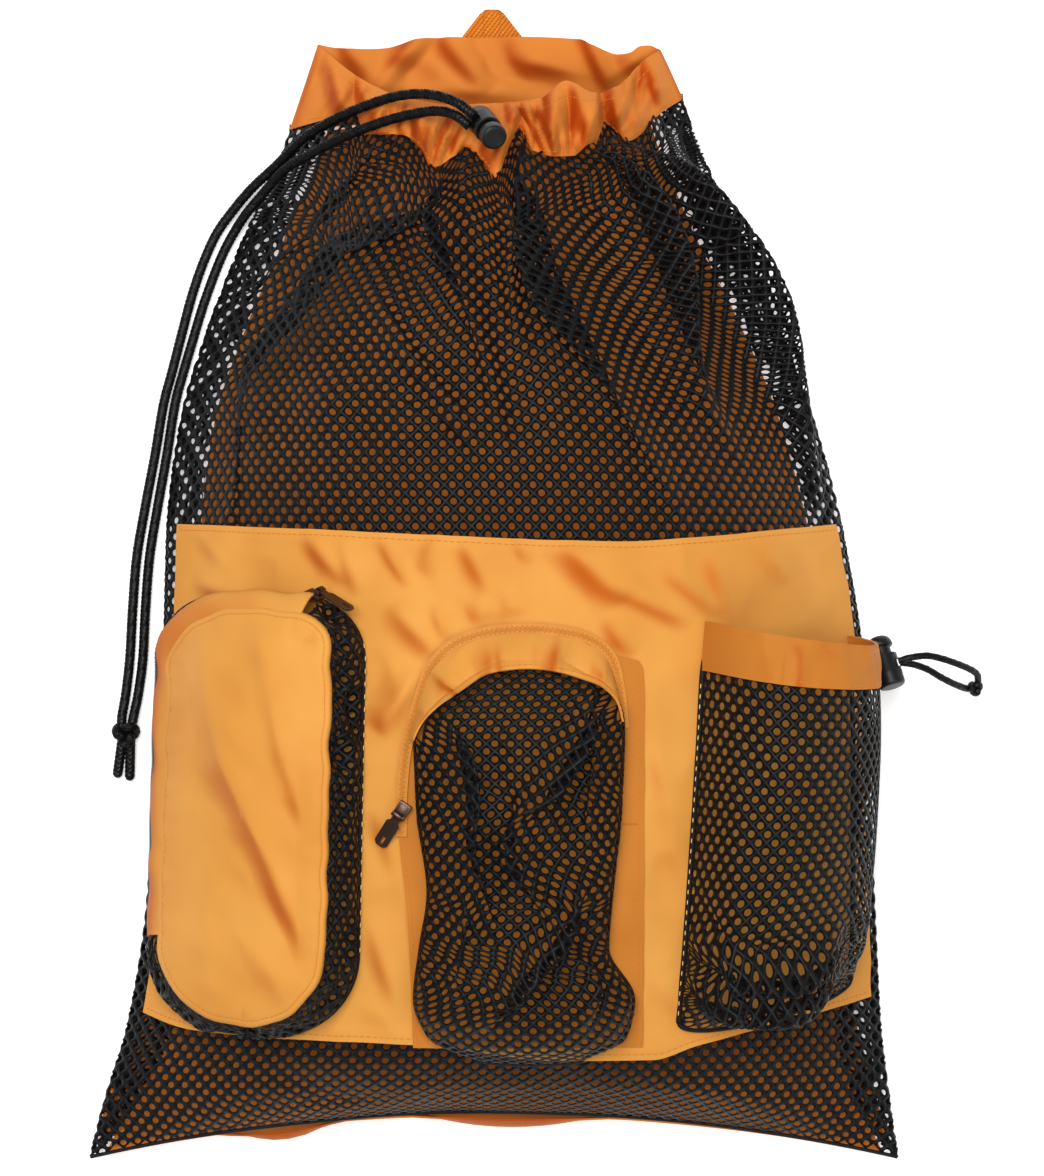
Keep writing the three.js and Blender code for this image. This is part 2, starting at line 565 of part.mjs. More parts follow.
const bottleRows = BOTTLE.map((row, i) => {
  const dip = (HEM_DIP * i) / (BOTTLE.length - 1);
  return bottleShares.map((share) => bottlePoint(row, share, dip));
});
add("bottle_pocket_mesh", wallGeometry(gridSurface(bottleRows), MESH_WALL), netting);
const hemRows = BOTTLE_HEM.map((row) => bottleShares.map((share) => bottlePoint(row, share, HEM_DIP)));
add("bottle_pocket_hem", wallGeometry(gridSurface(hemRows), HEM_WALL), nylon);

// The collar: one ring of nylon round the mouth, its front gathered and its back standing taller
const seamRow = SACK[SACK.length - 1];
function collarColumns() {
  const front = columnsOfFront.map((s) => {
    const seam = frontOfRow(s, seamRow);
    const up = 1 - s * s;
    const top = new THREE.Vector3(
      COLLAR_TOP.left + ((COLLAR_TOP.right - COLLAR_TOP.left) * (s + 1)) / 2,
      COLLAR_TOP.sideY + (COLLAR_TOP.frontY - COLLAR_TOP.sideY) * Math.sqrt(up) + 3 * wave(s) * up,
      COLLAR_TOP.sideZ + (COLLAR_TOP.frontZ - COLLAR_TOP.sideZ) * up - 4 * wave(s) * inside(s),
    );
    return { seam, top, puff: COLLAR_PUFF * up };
  });
  const leftSeam = front[0].seam;
  const rightSeam = front[front.length - 1].seam;
  const back = Array.from({ length: COLLAR_BACK_COLUMNS + 1 }, (_, i) => {
    const t = 1 - i / COLLAR_BACK_COLUMNS;
    const s = 2 * t - 1;
    const seam = new THREE.Vector3(
      leftSeam.x + (rightSeam.x - leftSeam.x) * t,
      leftSeam.y + (rightSeam.y - leftSeam.y) * t,
      BACK_Z,
    );
    const top = new THREE.Vector3(
      COLLAR_TOP.left + (COLLAR_TOP.right - COLLAR_TOP.left) * t,
      COLLAR_TOP.sideY + (COLLAR_TOP.backY - COLLAR_TOP.sideY) * (1 - s * s),
      COLLAR_TOP.backZ,
    );
    return { seam, top, puff: COLLAR_BACK_PUFF };
  });
  return [...front, ...back];
}
const collarRows = COLLAR_ROWS.map((share) =>
  collarColumns().map(({ seam, top, puff }) => {
    const p = seam.clone().lerp(top, share);
    p.z += puff * 4 * share * (1 - share);
    p.y += COLLAR_GAP * (1 - share);
    return p;
  }),
);
add("collar", wallGeometry(gridSurface(collarRows, true), NYLON_WALL), nylon);

// The haul loop: webbing up behind the collar, round and back down, pinched narrow at its top
function haulLoop() {
  const { baseY, apexY, lowZ, highZ, sewnZ, baseWidth, apexWidth, taperY } = HAUL_LOOP;
  const middleZ = (lowZ + highZ) / 2;
  const radius = (highZ - lowZ) / 2;
  const turn = Array.from({ length: 7 }, (_, i) => {
    const angle = Math.PI / 2 - (Math.PI * i) / 6;
    return { y: apexY + radius * Math.cos(angle), z: middleZ + radius * Math.sin(angle) };
  });
  const path = [
    { y: baseY, z: sewnZ },
    { y: baseY + 14, z: highZ - 1 },
    { y: taperY, z: highZ },
    ...turn,
    { y: taperY, z: lowZ },
    { y: baseY, z: lowZ },
  ];
  const rows = path.map(({ y, z }) => {
    const share = THREE.MathUtils.clamp((y - taperY) / (apexY - taperY), 0, 1);
    const half = (baseWidth + (apexWidth - baseWidth) * share) / 2;
    return [-1, -0.4, 0.4, 1].map((t) => new THREE.Vector3(t * half, y, z));
  });
  return wallGeometry(gridSurface(rows), WEBBING_WALL);
}
add("haul_loop", haulLoop(), webbing);

// The shoulder straps, folded flat under the back
for (const [side, name] of [[-1, "shoulder_strap_left"], [1, "shoulder_strap_right"]]) {
  const rows = Array.from({ length: 7 }, (_, i) => {
    const t = i / 6;
    const x = side * (STRAP.topX + (STRAP.bottomX - STRAP.topX) * t);
    const y = STRAP.topY + (STRAP.bottomY - STRAP.topY) * t;
    return [-1, 1].map((w) => new THREE.Vector3(x + (w * STRAP_WIDTH) / 2, y, STRAP_THICKNESS / 2));
  });
  add(name, wallGeometry(gridSurface(rows.reverse()), STRAP_THICKNESS), webbing);
}

// A turned piece whose axis is +Z, from a profile of radius and height
function turned(profile, sides = LOCK_SIDES) {
  const geometry = new THREE.LatheGeometry(profile.map(([r, z]) => new THREE.Vector2(r, z)), sides);
  return geometry.rotateX(Math.PI / 2);
}
function slot(width, low, high) {
  const tool = new THREE.BoxGeometry(4 * LOCK.radius, width, high - low);
  return tool.translate(0, 0, (low + high) / 2);
}
function lockBarrel() {
  const { radius, half, bore, floor } = LOCK;
  const profile = [
    [0, -half], [radius - 2, -half], [radius - 0.6, -half + 0.7], [radius, -half + 2.2], [radius, half],
    [bore, half], [bore, floor], [0, floor],
  ];
  return cut(turned(profile), slot(LOCK_SLOT.width, LOCK_SLOT.low, LOCK_SLOT.high));
}
function lockPlunger(domed) {
  const { stem, stemFoot, headFoot, headTop } = LOCK;
  const edge = domed ? 3.4 : 1;
  const profile = [
    [0, stemFoot], [stem, stemFoot], [stem, headFoot], [LOCK_HEAD_RADIUS, headFoot],
    [LOCK_HEAD_RADIUS, headTop - edge], [LOCK_HEAD_RADIUS - edge * 0.35, headTop - edge * 0.35],
    [LOCK_HEAD_RADIUS - edge, headTop], [0, headTop + (domed ? 0.4 : 0)],
  ];
  return cut(turned(profile), slot(LOCK_SLOT.stemWidth, LOCK_SLOT.stemLow, LOCK_SLOT.stemHigh));
}

// A group whose +Z is the lock's axis and whose +X is the way its cords leave
function lockGroup({ at, axis, exit }) {
  const z = new THREE.Vector3(...axis).normalize();
  const x = new THREE.Vector3(...exit);
  x.addScaledVector(z, -x.dot(z)).normalize();
  const group = new THREE.Group();
  group.position.set(...at);
  group.quaternion.setFromRotationMatrix(new THREE.Matrix4().makeBasis(x, z.clone().cross(x), z));
  bag.add(group);
  return group;
}
const topLock = lockGroup(TOP_LOCK);
add("collar_lock_barrel", lockBarrel(), hardPlastic, topLock);
add("collar_lock_plunger", lockPlunger(false), hardPlastic, topLock);
const bottleLock = lockGroup(BOTTLE_LOCK);
add("bottle_lock_barrel", lockBarrel(), hardPlastic, bottleLock);
add("bottle_lock_plunger", lockPlunger(true), hardPlastic, bottleLock);

// A cord along a smooth line through its points
function cordAlong(points, diameter) {
  const line = new THREE.CatmullRomCurve3(points.map((p) => new THREE.Vector3(...p)), false, "centripetal");
  const section = new THREE.Shape(
    Array.from({ length: CORD_SIDES }, (_, i) => {
      const angle = (2 * Math.PI * i) / CORD_SIDES;
      return new THREE.Vector2((diameter / 2) * Math.cos(angle), (diameter / 2) * Math.sin(angle));
    }),
  );
  const steps = Math.max(2, Math.round((line.getLength() / diameter) * STEPS_PER_DIAMETER));
  return new THREE.ExtrudeGeometry(section, { steps, extrudePath: line, bevelEnabled: false });
}
function knotAt({ at, radii }) {
  const geometry = new THREE.SphereGeometry(1, KNOT_SIDES, KNOT_SIDES - 3);
  return geometry.scale(...radii).translate(...at);
}
add("drawstring_upper", cordAlong(DRAWSTRING_UPPER, DRAWSTRING_DIAMETER), cordBlack);
add("drawstring_lower", cordAlong(DRAWSTRING_LOWER, DRAWSTRING_DIAMETER), cordBlack);
add("drawstring_knot", knotAt(DRAWSTRING_KNOT), cordBlack);
DRAWSTRING_TAILS.forEach(({ start, end }, i) => {
  add(`drawstring_tail_${i + 1}`, cordAlong([start, end], DRAWSTRING_DIAMETER), cordBlack);
});
add("bottle_elastic_upper", cordAlong(ELASTIC_UPPER, ELASTIC_DIAMETER), cordBlack);
add("bottle_elastic_lower", cordAlong(ELASTIC_LOWER, ELASTIC_DIAMETER), cordBlack);
add("bottle_elastic_knot", knotAt(ELASTIC_KNOT), cordBlack);

// A zip slider: a block with two ears and a pin between them, +X towards the end of its tab
function sliderBody() {
  const { length, width, height, earHeight, earWidth, pinRadius } = SLIDER;
  const block = new THREE.BoxGeometry(length, width, height - SEWN_GAP);
  block.translate(-length / 2 + 2, 0, (height - SEWN_GAP) / 2);
  const ears = [-1, 1].map((side) => {
    const ear = new THREE.BoxGeometry(3, earWidth, earHeight + 1);
    return ear.translate(0, (side * (width - earWidth)) / 2, height + earHeight / 2 - 0.5);
  });
  const pin = new THREE.CylinderGeometry(pinRadius, pinRadius, width - earWidth, 8);
  pin.translate(0, 0, PIN_HEIGHT);
  return joined(block, ...ears, pin);
}
// The tab: a side profile with an eye round the pin, and a hole near its end
function pullTab() {
  const { length, width, neckWidth, neckLength, thickness, eyeOuter, eyeInner, hole } = PULL;
  const lean = Math.asin(thickness / 2 / eyeOuter);
  const profile = new THREE.Shape();
  profile.moveTo(length, -thickness / 2);
  profile.lineTo(length, thickness / 2);
  profile.absarc(0, 0, eyeOuter, lean, 2 * Math.PI - lean, false);
  const eye = new THREE.Path();
  eye.absarc(0, 0, eyeInner, 0, 2 * Math.PI, true);
  profile.holes.push(eye);
  const plate = new THREE.ExtrudeGeometry(profile, { depth: width, bevelEnabled: false, curveSegments: 6 });
  plate.translate(0, 0, -width / 2).rotateX(Math.PI / 2);
  const tool = new THREE.BoxGeometry(hole.length, hole.width, 4 * thickness);
  tool.translate(length - hole.length / 2 - 1.4, 0, 0);
  const shoulder = (width - neckWidth) / 2;
  const besideNeck = [-1, 1].map((side) => {
    const block = new THREE.BoxGeometry(3 * neckLength, shoulder, 4 * eyeOuter);
    return block.translate(-neckLength / 2, (side * (neckWidth + shoulder)) / 2, 0);
  });
  return cut(plate, tool, ...besideNeck);
}
function addSlider(foot, ahead, up, droop, names) {
  const group = new THREE.Group();
  group.position.copy(foot);
  group.quaternion.setFromRotationMatrix(new THREE.Matrix4().makeBasis(ahead, up.clone().cross(ahead), up));
  bag.add(group);
  add(names.body, sliderBody(), darkMetal, group);
  const tab = add(names.tab, pullTab(), darkMetal, group);
  tab.position.z = PIN_HEIGHT;
  tab.rotation.y = droop;
}

// The box pocket's slider stands on the gusset at the end of its zip, its tab along the gusset
const boxSliderFoot = gussetPoint(topRightEnd, 0.52, BOX_SLIDER_OUT);
const boxSliderAhead = gussetPoint(topRightEnd - 1, 0.52).sub(gussetPoint(topRightEnd + 1, 0.52)).normalize();
const boxSliderRise = gussetPoint(topRightEnd, 1).sub(gussetPoint(topRightEnd, 0));
const boxSliderUp = boxSliderAhead.clone().cross(boxSliderRise).negate().normalize();
const boxSliderNames = { body: "box_zip_slider", tab: "box_zip_pull" };
addSlider(boxSliderFoot, boxSliderAhead, boxSliderUp, BOX_PULL_DROOP, boxSliderNames);

// The pouch's slider stands on the foot of its zip, its tab lying out over the band
const [pouchX, pouchY] = POUCH_SLIDER.at;
const pouchSliderFoot = frontAt(pouchX, pouchY, POUCH_SLIDER.lift);
const pouchSliderUp = frontAt(pouchX, pouchY, POUCH_SLIDER.lift + 1).sub(pouchSliderFoot);
const pouchSliderAhead = new THREE.Vector3(Math.cos(POUCH_SLIDER.heading), Math.sin(POUCH_SLIDER.heading), 0);
pouchSliderAhead.addScaledVector(pouchSliderUp, -pouchSliderAhead.dot(pouchSliderUp)).normalize();
const pouchSliderNames = { body: "pouch_zip_slider", tab: "pouch_zip_pull" };
addSlider(pouchSliderFoot, pouchSliderAhead, pouchSliderUp, POUCH_PULL_DROOP, pouchSliderNames);

export default bag;
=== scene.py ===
# %% [markdown]
# # A mesh backpack, dressed over its imported frame
# The imported model gives every piece its place and its size in metres. This script keeps those places
# and gives each piece its real surface: netting with open holes, sewn nylon, braided cord, moulded
# locks and coil zips. A model made anew would lose the joints, and dressing the imported pieces keeps them.

# %% Load the frame
import json
import math

import bpy
import numpy as np
from mathutils import Matrix, Vector

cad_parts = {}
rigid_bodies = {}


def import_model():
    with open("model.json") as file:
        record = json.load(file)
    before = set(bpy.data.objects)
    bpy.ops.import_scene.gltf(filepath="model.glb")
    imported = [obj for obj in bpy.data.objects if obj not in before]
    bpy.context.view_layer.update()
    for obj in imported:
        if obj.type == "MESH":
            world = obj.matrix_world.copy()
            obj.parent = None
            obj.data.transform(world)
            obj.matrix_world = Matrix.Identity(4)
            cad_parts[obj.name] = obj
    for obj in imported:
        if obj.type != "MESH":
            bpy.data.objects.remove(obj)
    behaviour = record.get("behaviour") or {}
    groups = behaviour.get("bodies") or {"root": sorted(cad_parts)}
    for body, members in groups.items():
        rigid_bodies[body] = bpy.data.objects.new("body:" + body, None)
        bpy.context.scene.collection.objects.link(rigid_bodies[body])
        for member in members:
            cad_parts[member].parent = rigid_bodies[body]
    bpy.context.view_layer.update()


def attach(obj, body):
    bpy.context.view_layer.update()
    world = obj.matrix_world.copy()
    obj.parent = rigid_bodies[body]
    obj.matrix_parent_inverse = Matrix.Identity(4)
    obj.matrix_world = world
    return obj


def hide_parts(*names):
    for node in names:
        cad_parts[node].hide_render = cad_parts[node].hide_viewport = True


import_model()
MM = 0.001

# %% [markdown]
# ## The camera
# The bag lies on its back and is seen straight from above. A long lens far away keeps the tall pockets
# from leaning outwards more than they do in the picture. The lens follows from how many metres one
# pixel covers on the bag, so the camera can be set from measurements instead of by eye.

# %% Camera
PICTURE_HEIGHT = 1176
CAMERA_AT = Vector((0.0156, 0.0, 2.4))
PIXEL = 0.00052
PIXEL_HEIGHT = 0.01
SENSOR = 36


def in_scene(name, data):
    """A new object in the scene."""
    obj = bpy.data.objects.new(name, data)
    bpy.context.scene.collection.objects.link(obj)
    return obj


camera_data = bpy.data.cameras.new("camera")
camera_data.sensor_fit = "VERTICAL"
camera_data.sensor_height = SENSOR
camera_data.lens = SENSOR * (CAMERA_AT.z - PIXEL_HEIGHT) / (PIXEL * PICTURE_HEIGHT)
camera = in_scene("camera", camera_data)
camera.location = CAMERA_AT
bpy.context.scene.camera = camera
print("lens", round(camera_data.lens, 1), "mm")

# %% [markdown]
# ## Curves through tables
# Sewn cloth has hardly a straight line. It could be sculpted by hand or left to a cloth simulation, but
# neither puts a fold where it is wanted twice. So short tables of sizes describe each surface, and a curve
# that never overshoots runs through them. Ripples and creases come on top: a ripple is a sum of a few
# sines with a fixed seed, and a crease is a ridge between two points, soft on both sides or crisp on one.

# %% Curves and ripples
def curve_through(at, values, x):
    """The smooth curve through a table, without overshoot between its entries."""
    at = np.asarray(at, float)
    values = np.asarray(values, float)
    span = np.diff(at)
    slope = np.diff(values) / span
    both = slope[:-1] * slope[1:]
    total = slope[:-1] + slope[1:]
    tangent = np.concatenate([slope[:1], np.zeros(len(both)), slope[-1:]])
    tangent[1:-1] = np.divide(2 * both, total, out=np.zeros_like(both), where=both > 0)
    x = np.clip(x, at[0], at[-1])
    i = np.clip(np.searchsorted(at, x, side="right") - 1, 0, len(span) - 1)
    t = (x - at[i]) / span[i]
    rest = 1 - t
    smooth = values[i] + (values[i + 1] - values[i]) * t * t * (3 - 2 * t)
    return smooth + span[i] * t * rest * (tangent[i] * rest - tangent[i + 1] * t)


def column(table, k, at):
    """The curve through one column of a table, over its first."""
    return curve_through(table[:, 0], table[:, k], at)


def smoothstep(x, low, high):
    t = np.clip((x - low) / (high - low), 0, 1)
    return t * t * (3 - 2 * t)


WAVES = 7


def ripple(x, y, wavelength, seed):
    """Soft unevenness of about -1 to 1, the same every time."""
    chance = np.random.default_rng(seed)
    total = 0.0
    for _ in range(WAVES):
        turn = chance.uniform(0, np.pi)
        length = wavelength * chance.uniform(0.7, 1.5)
        phase = chance.uniform(0, 2 * np.pi)
        along = x * np.cos(turn) + y * np.sin(turn)
        total = total + np.sin(2 * np.pi * along / length + phase)
    return total / 4


def ridged(x, y, wavelength, seed):
    """Unevenness with sharp crests, like thin cloth that has been creased."""
    return 1 - 2 * np.sqrt(ripple(x, y, wavelength, seed) ** 2 + 0.006)


print("ripple over 100 mm:", np.round(ripple(np.arange(0, 100, 25.0), 0.0, wavelength=40, seed=1), 2))

# %% Creases
GENTLE_SIDE = 1.8


def crisp_ridge(away):
    """1 on a sharp crest and 0 from a distance of about 1."""
    return np.clip(1.1 - np.sqrt(away**2 + 0.01), 0, 1) ** 2


def creases(x, y, table, wider=1.0, crisp=False):
    """Height of ridges and valleys, each from (x0, y0) to (x1, y1) with its width and rise.

    A crisp one falls off steeply to the right of its way and gently to the left.
    """
    total = np.zeros(np.broadcast(x, y).shape)
    for x0, y0, x1, y1, width, rise in table:
        length = math.hypot(x1 - x0, y1 - y0)
        along = ((x - x0) * (x1 - x0) + (y - y0) * (y1 - y0)) / length**2
        across = ((x - x0) * (y1 - y0) - (y - y0) * (x1 - x0)) / length
        ends = np.clip(1 - (2 * along - 1) ** 2, 0, None)
        away = across / (width * wider)
        if crisp:
            shape = crisp_ridge(np.where(away > 0, away, away / GENTLE_SIDE))
        else:
            shape = np.exp(-(away**2))
        total += rise * ends * shape
    return total


across_ridge = creases(np.arange(-8, 9, 4.0), 0.0, [(0, -10, 0, 10, 6, 2)], crisp=True)
print("across a crisp crease:", np.round(across_ridge, 2))

# %% [markdown]
# ## Meshes from arrays
# Blender could build these meshes with modifiers, but arrays are quicker for many small faces and give
# the same mesh on every run. A cloth is a grid of points thickened along its own normals and closed round
# its edge. Each piece is told which imported pieces it stands for, which body it rides on and which finish
# it takes. Where a fold turns away from the light, the nylon is painted a deeper orange as shade, so each
# cloth also carries a painted-shade value, worked out from the slopes of its own folds.

# %% Pieces from arrays
FINISH_OF = {}


def turned_out(points, faces):
    """The faces, turned over if the piece would be inside out."""
    a, b, c, d = (points[faces[:, k]] for k in range(4))
    volume = np.einsum("ij,ij->", a, np.cross(b, c)) + np.einsum("ij,ij->", a, np.cross(c, d))
    return faces if volume > 0 else faces[:, ::-1]


def new_piece(name, points, faces, finish, nodes=(), uv=None, sharp=50, painted_shade=None):
    """A smooth mesh from points in millimetres and faces of four corners, a triangle's last one twice."""
    faces = turned_out(points, faces)
    corners = [[a for k, a in enumerate(f) if a != f[k - 1]] for f in faces.tolist()]
    mesh = bpy.data.meshes.new(name)
    mesh.from_pydata((points * MM).tolist(), [], corners)
    mesh.polygons.foreach_set("use_smooth", np.ones(len(mesh.polygons), bool))
    if uv is not None:
        loops = np.empty(len(mesh.loops), np.int32)
        mesh.loops.foreach_get("vertex_index", loops)
        layer = mesh.uv_layers.new(name="cloth")
        layer.data.foreach_set("uv", (np.asarray(uv) * MM)[loops].astype(np.float32).ravel())
    # Each point's painted shade, which the nylon finishes mix in as a deeper orange.
    if painted_shade is not None:
        mesh.attributes.new("painted_shade", "FLOAT", "POINT").data.foreach_set("value", painted_shade.astype(np.float32))
    mesh.update()
    if sharp:
        mesh.set_sharp_from_angle(angle=math.radians(sharp))
    return dress(in_scene(name, mesh), finish, nodes)


def dress(obj, finish, nodes=(), body="bag"):
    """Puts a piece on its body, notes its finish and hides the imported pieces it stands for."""
    FINISH_OF[obj.name] = finish
    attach(obj, body)
    if nodes:
        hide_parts(*nodes)
    return obj


print("pieces can be made")


# %% Grids and the painted shade of their folds
def stacked(*parts):
    return np.stack(parts, axis=-1)


def unit(vectors):
    return vectors / np.maximum(np.linalg.norm(vectors, axis=-1, keepdims=True), 1e-12)


def grid_normals(grid, closed=False):
    """The normal at each point of a grid of rows and columns."""
    if closed:
        across = np.roll(grid, -1, axis=1) - np.roll(grid, 1, axis=1)
    else:
        across = np.gradient(grid, axis=1)
    return unit(np.cross(across, np.gradient(grid, axis=0)))


def lengths_along(grid, axis):
    """Distance of each point from the start of its row, or of its column where the axis is 0."""
    steps = np.linalg.norm(np.diff(grid, axis=axis), axis=-1)
    start = np.zeros_like(np.take(steps, [0], axis=axis))
    return np.cumsum(np.concatenate([start, steps], axis=axis), axis=axis)


def along_line(values, along, at):
    """Values given along a line, read off at other places along it."""
    return np.stack([np.interp(at, along, values[:, k]) for k in range(values.shape[1])], axis=1)


# Folds that turn this way, away from the light, take the most painted shade.
SHADED_WAY = np.array([-0.8, -0.6])
SHADED_REACH = 80
SHADED_FROM = 0.03
SHADED_FULL = 0.45
ANY_WAY = 0.4


def averaged(values, times, closed=False):
    """A grid of vectors, each averaged with its neighbours the given number of times."""
    for _ in range(times):
        wide = np.pad(values, ((0, 0), (1, 1), (0, 0)), mode="wrap" if closed else "edge")
        values = (wide[:, :-2] + wide[:, 1:-1] + wide[:, 2:]) / 3
        tall = np.pad(values, ((1, 1), (0, 0), (0, 0)), mode="edge")
        values = (tall[:-2] + tall[1:-1] + tall[2:]) / 3
    return values


def upward(normals):
    return normals * np.where(normals[..., 2:] < 0, -1, 1)


def fold_shade(grid, closed=False, plain=None):
    """How far each point's folds turn to the shaded side, from 0 to 1, which is painted as shade.

    They turn from the plain cloth where that is given, and else from the cloth round about.
    """
    normals = upward(grid_normals(grid, closed))
    if plain is None:
        broad = averaged(normals, SHADED_REACH, closed)
    else:
        broad = upward(grid_normals(plain, closed))
    turn = (normals - broad)[..., :2]
    amount = ANY_WAY * np.linalg.norm(turn, axis=-1) + (1 - ANY_WAY) * turn @ SHADED_WAY
    return averaged(smoothstep(amount, SHADED_FROM, SHADED_FULL)[..., None], 2, closed)[..., 0]


print("folds are shaded towards", SHADED_WAY)


# %% Sewn sheets
def cloth_mesh(grid, thickness, closed=False):
    """Points, faces and cloth coordinates of a thin sheet with a closed edge."""
    rows, columns = grid.shape[:2]
    normals = grid_normals(grid, closed)
    half = np.broadcast_to(np.asarray(thickness, float), (rows, columns))[..., None] / 2
    both = (grid + normals * half, grid - normals * half)
    points = np.concatenate([side.reshape(-1, 3) for side in both])
    outer = np.arange(rows * columns).reshape(rows, columns)
    if closed:
        outer = np.concatenate([outer, outer[:, :1]], axis=1)
    inner = outer + rows * columns
    parts = []
    for index, step in ((outer, 1), (inner, -1)):
        square = [index[:-1, :-1], index[:-1, 1:], index[1:, 1:], index[1:, :-1]]
        parts.append(np.stack(square[::step], axis=-1).reshape(-1, 4))
    edges = [(0, slice(None)), (-1, slice(None, None, -1))]
    rims = [(outer[r][way], inner[r][way]) for r, way in edges]
    if not closed:
        rims.append((outer[::-1, 0], inner[::-1, 0]))
        rims.append((outer[:, -1], inner[:, -1]))
    for out, back in rims:
        parts.append(stacked(out[1:], out[:-1], back[:-1], back[1:]))
    uv = stacked(lengths_along(grid, 1), lengths_along(grid, 0)).reshape(-1, 2)
    return points, np.concatenate(parts), np.concatenate([uv, uv])


LEAST_SHARE = 0.3


def cloth(name, grid, thickness, finish, nodes, closed=False, plain=None):
    """A sewn sheet along a grid of points, whose flat size is printed."""
    points, faces, uv = cloth_mesh(grid, thickness, closed)
    # Painted shade on the cloth where its folds turn from the light.
    painted_shade = np.tile(fold_shade(grid, closed, plain).ravel(), 2)
    obj = new_piece(name, points, faces, finish, nodes, uv=uv, painted_shade=painted_shade)
    ring = np.concatenate([grid, grid[:, :1]], axis=1) if closed else grid
    width = lengths_along(ring, 1)[:, -1].max()
    length = lengths_along(grid, 0)[-1].max()
    sides = np.cross(ring[1:, 1:] - ring[:-1, :-1], ring[1:, :-1] - ring[:-1, 1:])
    area = np.linalg.norm(sides, axis=-1).sum() / 2
    area = np.clip(area, LEAST_SHARE * width * length, width * length)
    print(name, "flat", round(width), "x", round(length), "mm,", len(obj.data.polygons), "faces")


print("sheets can be sewn")

# %% [markdown]
# ## Cords
# The drawstring and the elastic are braided cord. A curve with a bevel would give a smooth tube, and a bump
# in its finish would leave the outline smooth. So a cord is a tube of many thin rings along the smooth
# line through its route, with its braid as real relief: two families of strands wind round it in opposite
# ways, each over two and under two of the other, which gives braided cord its rows of small vees.

# %% Lines and tubes
def smooth_line(route, steps=24):
    """The smooth line through the points of a route, with even speed round its bends."""
    p = np.asarray(route, float)
    p = np.concatenate([[2 * p[0] - p[1]], p, [2 * p[-1] - p[-2]]])
    knots = np.concatenate([[0], np.cumsum(np.linalg.norm(np.diff(p[:, :3], axis=0), axis=1) ** 0.5)])
    line = []
    for i in range(1, len(p) - 2):
        t0, t1, t2, t3 = knots[i - 1 : i + 3]
        t = np.linspace(t1, t2, steps, endpoint=False)[:, None]
        a = ((t1 - t) * p[i - 1] + (t - t0) * p[i]) / (t1 - t0)
        b = ((t2 - t) * p[i] + (t - t1) * p[i + 1]) / (t2 - t1)
        c = ((t3 - t) * p[i + 1] + (t - t2) * p[i + 2]) / (t3 - t2)
        d = ((t2 - t) * a + (t - t0) * b) / (t2 - t0)
        e = ((t3 - t) * b + (t - t1) * c) / (t3 - t1)
        line.append(((t2 - t) * d + (t - t1) * e) / (t2 - t1))
    return np.concatenate(line + [p[-2:-1]])


def spaced(line, step):
    """The same line with its points the given step apart."""
    along = lengths_along(line[:, None], 0)[:, 0]
    count = max(2, round(along[-1] / step) + 1)
    at = np.linspace(0, along[-1], count)
    return along_line(line, along, at)


def tube_mesh(line, radius, sides, closed=False):
    """Points and faces of a tube. The radius is a number, or an array of rings by sides."""
    count = len(line)
    if closed:
        tangent = unit(np.roll(line, -1, axis=0) - np.roll(line, 1, axis=0))
        side = unit(np.cross(tangent, [0, 0, 1]))
    else:
        tangent = unit(np.gradient(line, axis=0))
        side = np.empty_like(line)
        guess = np.cross(tangent[0], [0, 0, 1])
        for k in range(count):
            guess = guess - tangent[k] * np.dot(guess, tangent[k])
            guess = guess / np.linalg.norm(guess)
            side[k] = guess
    up = np.cross(tangent, side)
    angle = np.linspace(0, 2 * np.pi, sides, endpoint=False)
    rings = side[:, None] * np.cos(angle)[:, None] + up[:, None] * np.sin(angle)[:, None]
    radius = np.broadcast_to(radius, (count, sides))[..., None]
    points = (line[:, None] + rings * radius).reshape(-1, 3)
    index = np.arange(count * sides).reshape(count, sides)
    if closed:
        index = np.concatenate([index, index[:1]])
    around = np.roll(index, -1, axis=1)
    faces = [stacked(index[:-1], around[:-1], around[1:], index[1:]).reshape(-1, 4)]
    if not closed:
        points = np.concatenate([points, line[:1], line[-1:]])
        first = np.full(sides, count * sides)
        last = first + 1
        faces.append(stacked(around[0], index[0], first, first))
        faces.append(stacked(index[-1], around[-1], last, last))
    return points, np.concatenate(faces)


STRANDS = 8
BRAID_DEPTH = 0.4
BRAID_LAY = 0.42


def braided(line, diameter, lay, sides, closed=False, rounded=False):
    """Points and faces of a braided cord along evenly spaced points, with its last end rounded or not."""
    along = lengths_along(line[:, None], 0)
    turns = np.linspace(0, 1, sides, endpoint=False)[None]
    right = STRANDS * turns + along / lay
    left = STRANDS * turns - along / lay
    over = (np.floor(right) + np.floor(left)) % 4 < 2
    across = np.where(over, right % 1, left % 1)
    radius = diameter / 2 * (1 - BRAID_DEPTH * (1 - np.sin(np.pi * across)))
    if rounded:
        share = np.clip((along[-1, 0] - along) / (diameter / 2), 0.02, 1)
        radius = radius * np.sqrt(1 - (1 - share) ** 2)
    return tube_mesh(line, radius, sides, closed)


print("a braid of", STRANDS, "strands each way")

# %% Drawstring and elastic
DRAWSTRING = 5.5
ELASTIC = 3.8
DRAWSTRING_UPPER = [
    (-8.3, 238.2, 82.5), (-18, 245.5, 79), (-32.4, 250.4, 69.5), (-48.7, 250.4, 59), (-68.4, 245.2, 48),
    (-85, 238.6, 37.5), (-97.5, 231.8, 27.5), (-111, 219.7, 17.5), (-125, 207.6, 10.2), (-135, 196.6, 5.4),
    (-143.6, 184.9, 3.2), (-150.5, 169.9, 3.1), (-156.3, 153.2, 3.1), (-161.6, 133.4, 3.1),
    (-166.8, 113.1, 3.1), (-171, 97.4, 3.1), (-175.8, 69.3, 3.1), (-181, 41.7, 3.1), (-185.3, 16.2, 3.1),
    (-187.5, -11.5, 3.1), (-189, -37.6, 3.1), (-191.1, -55.8, 3.2), (-193, -67.6, 4.2), (-193, -73, 5.6),
]
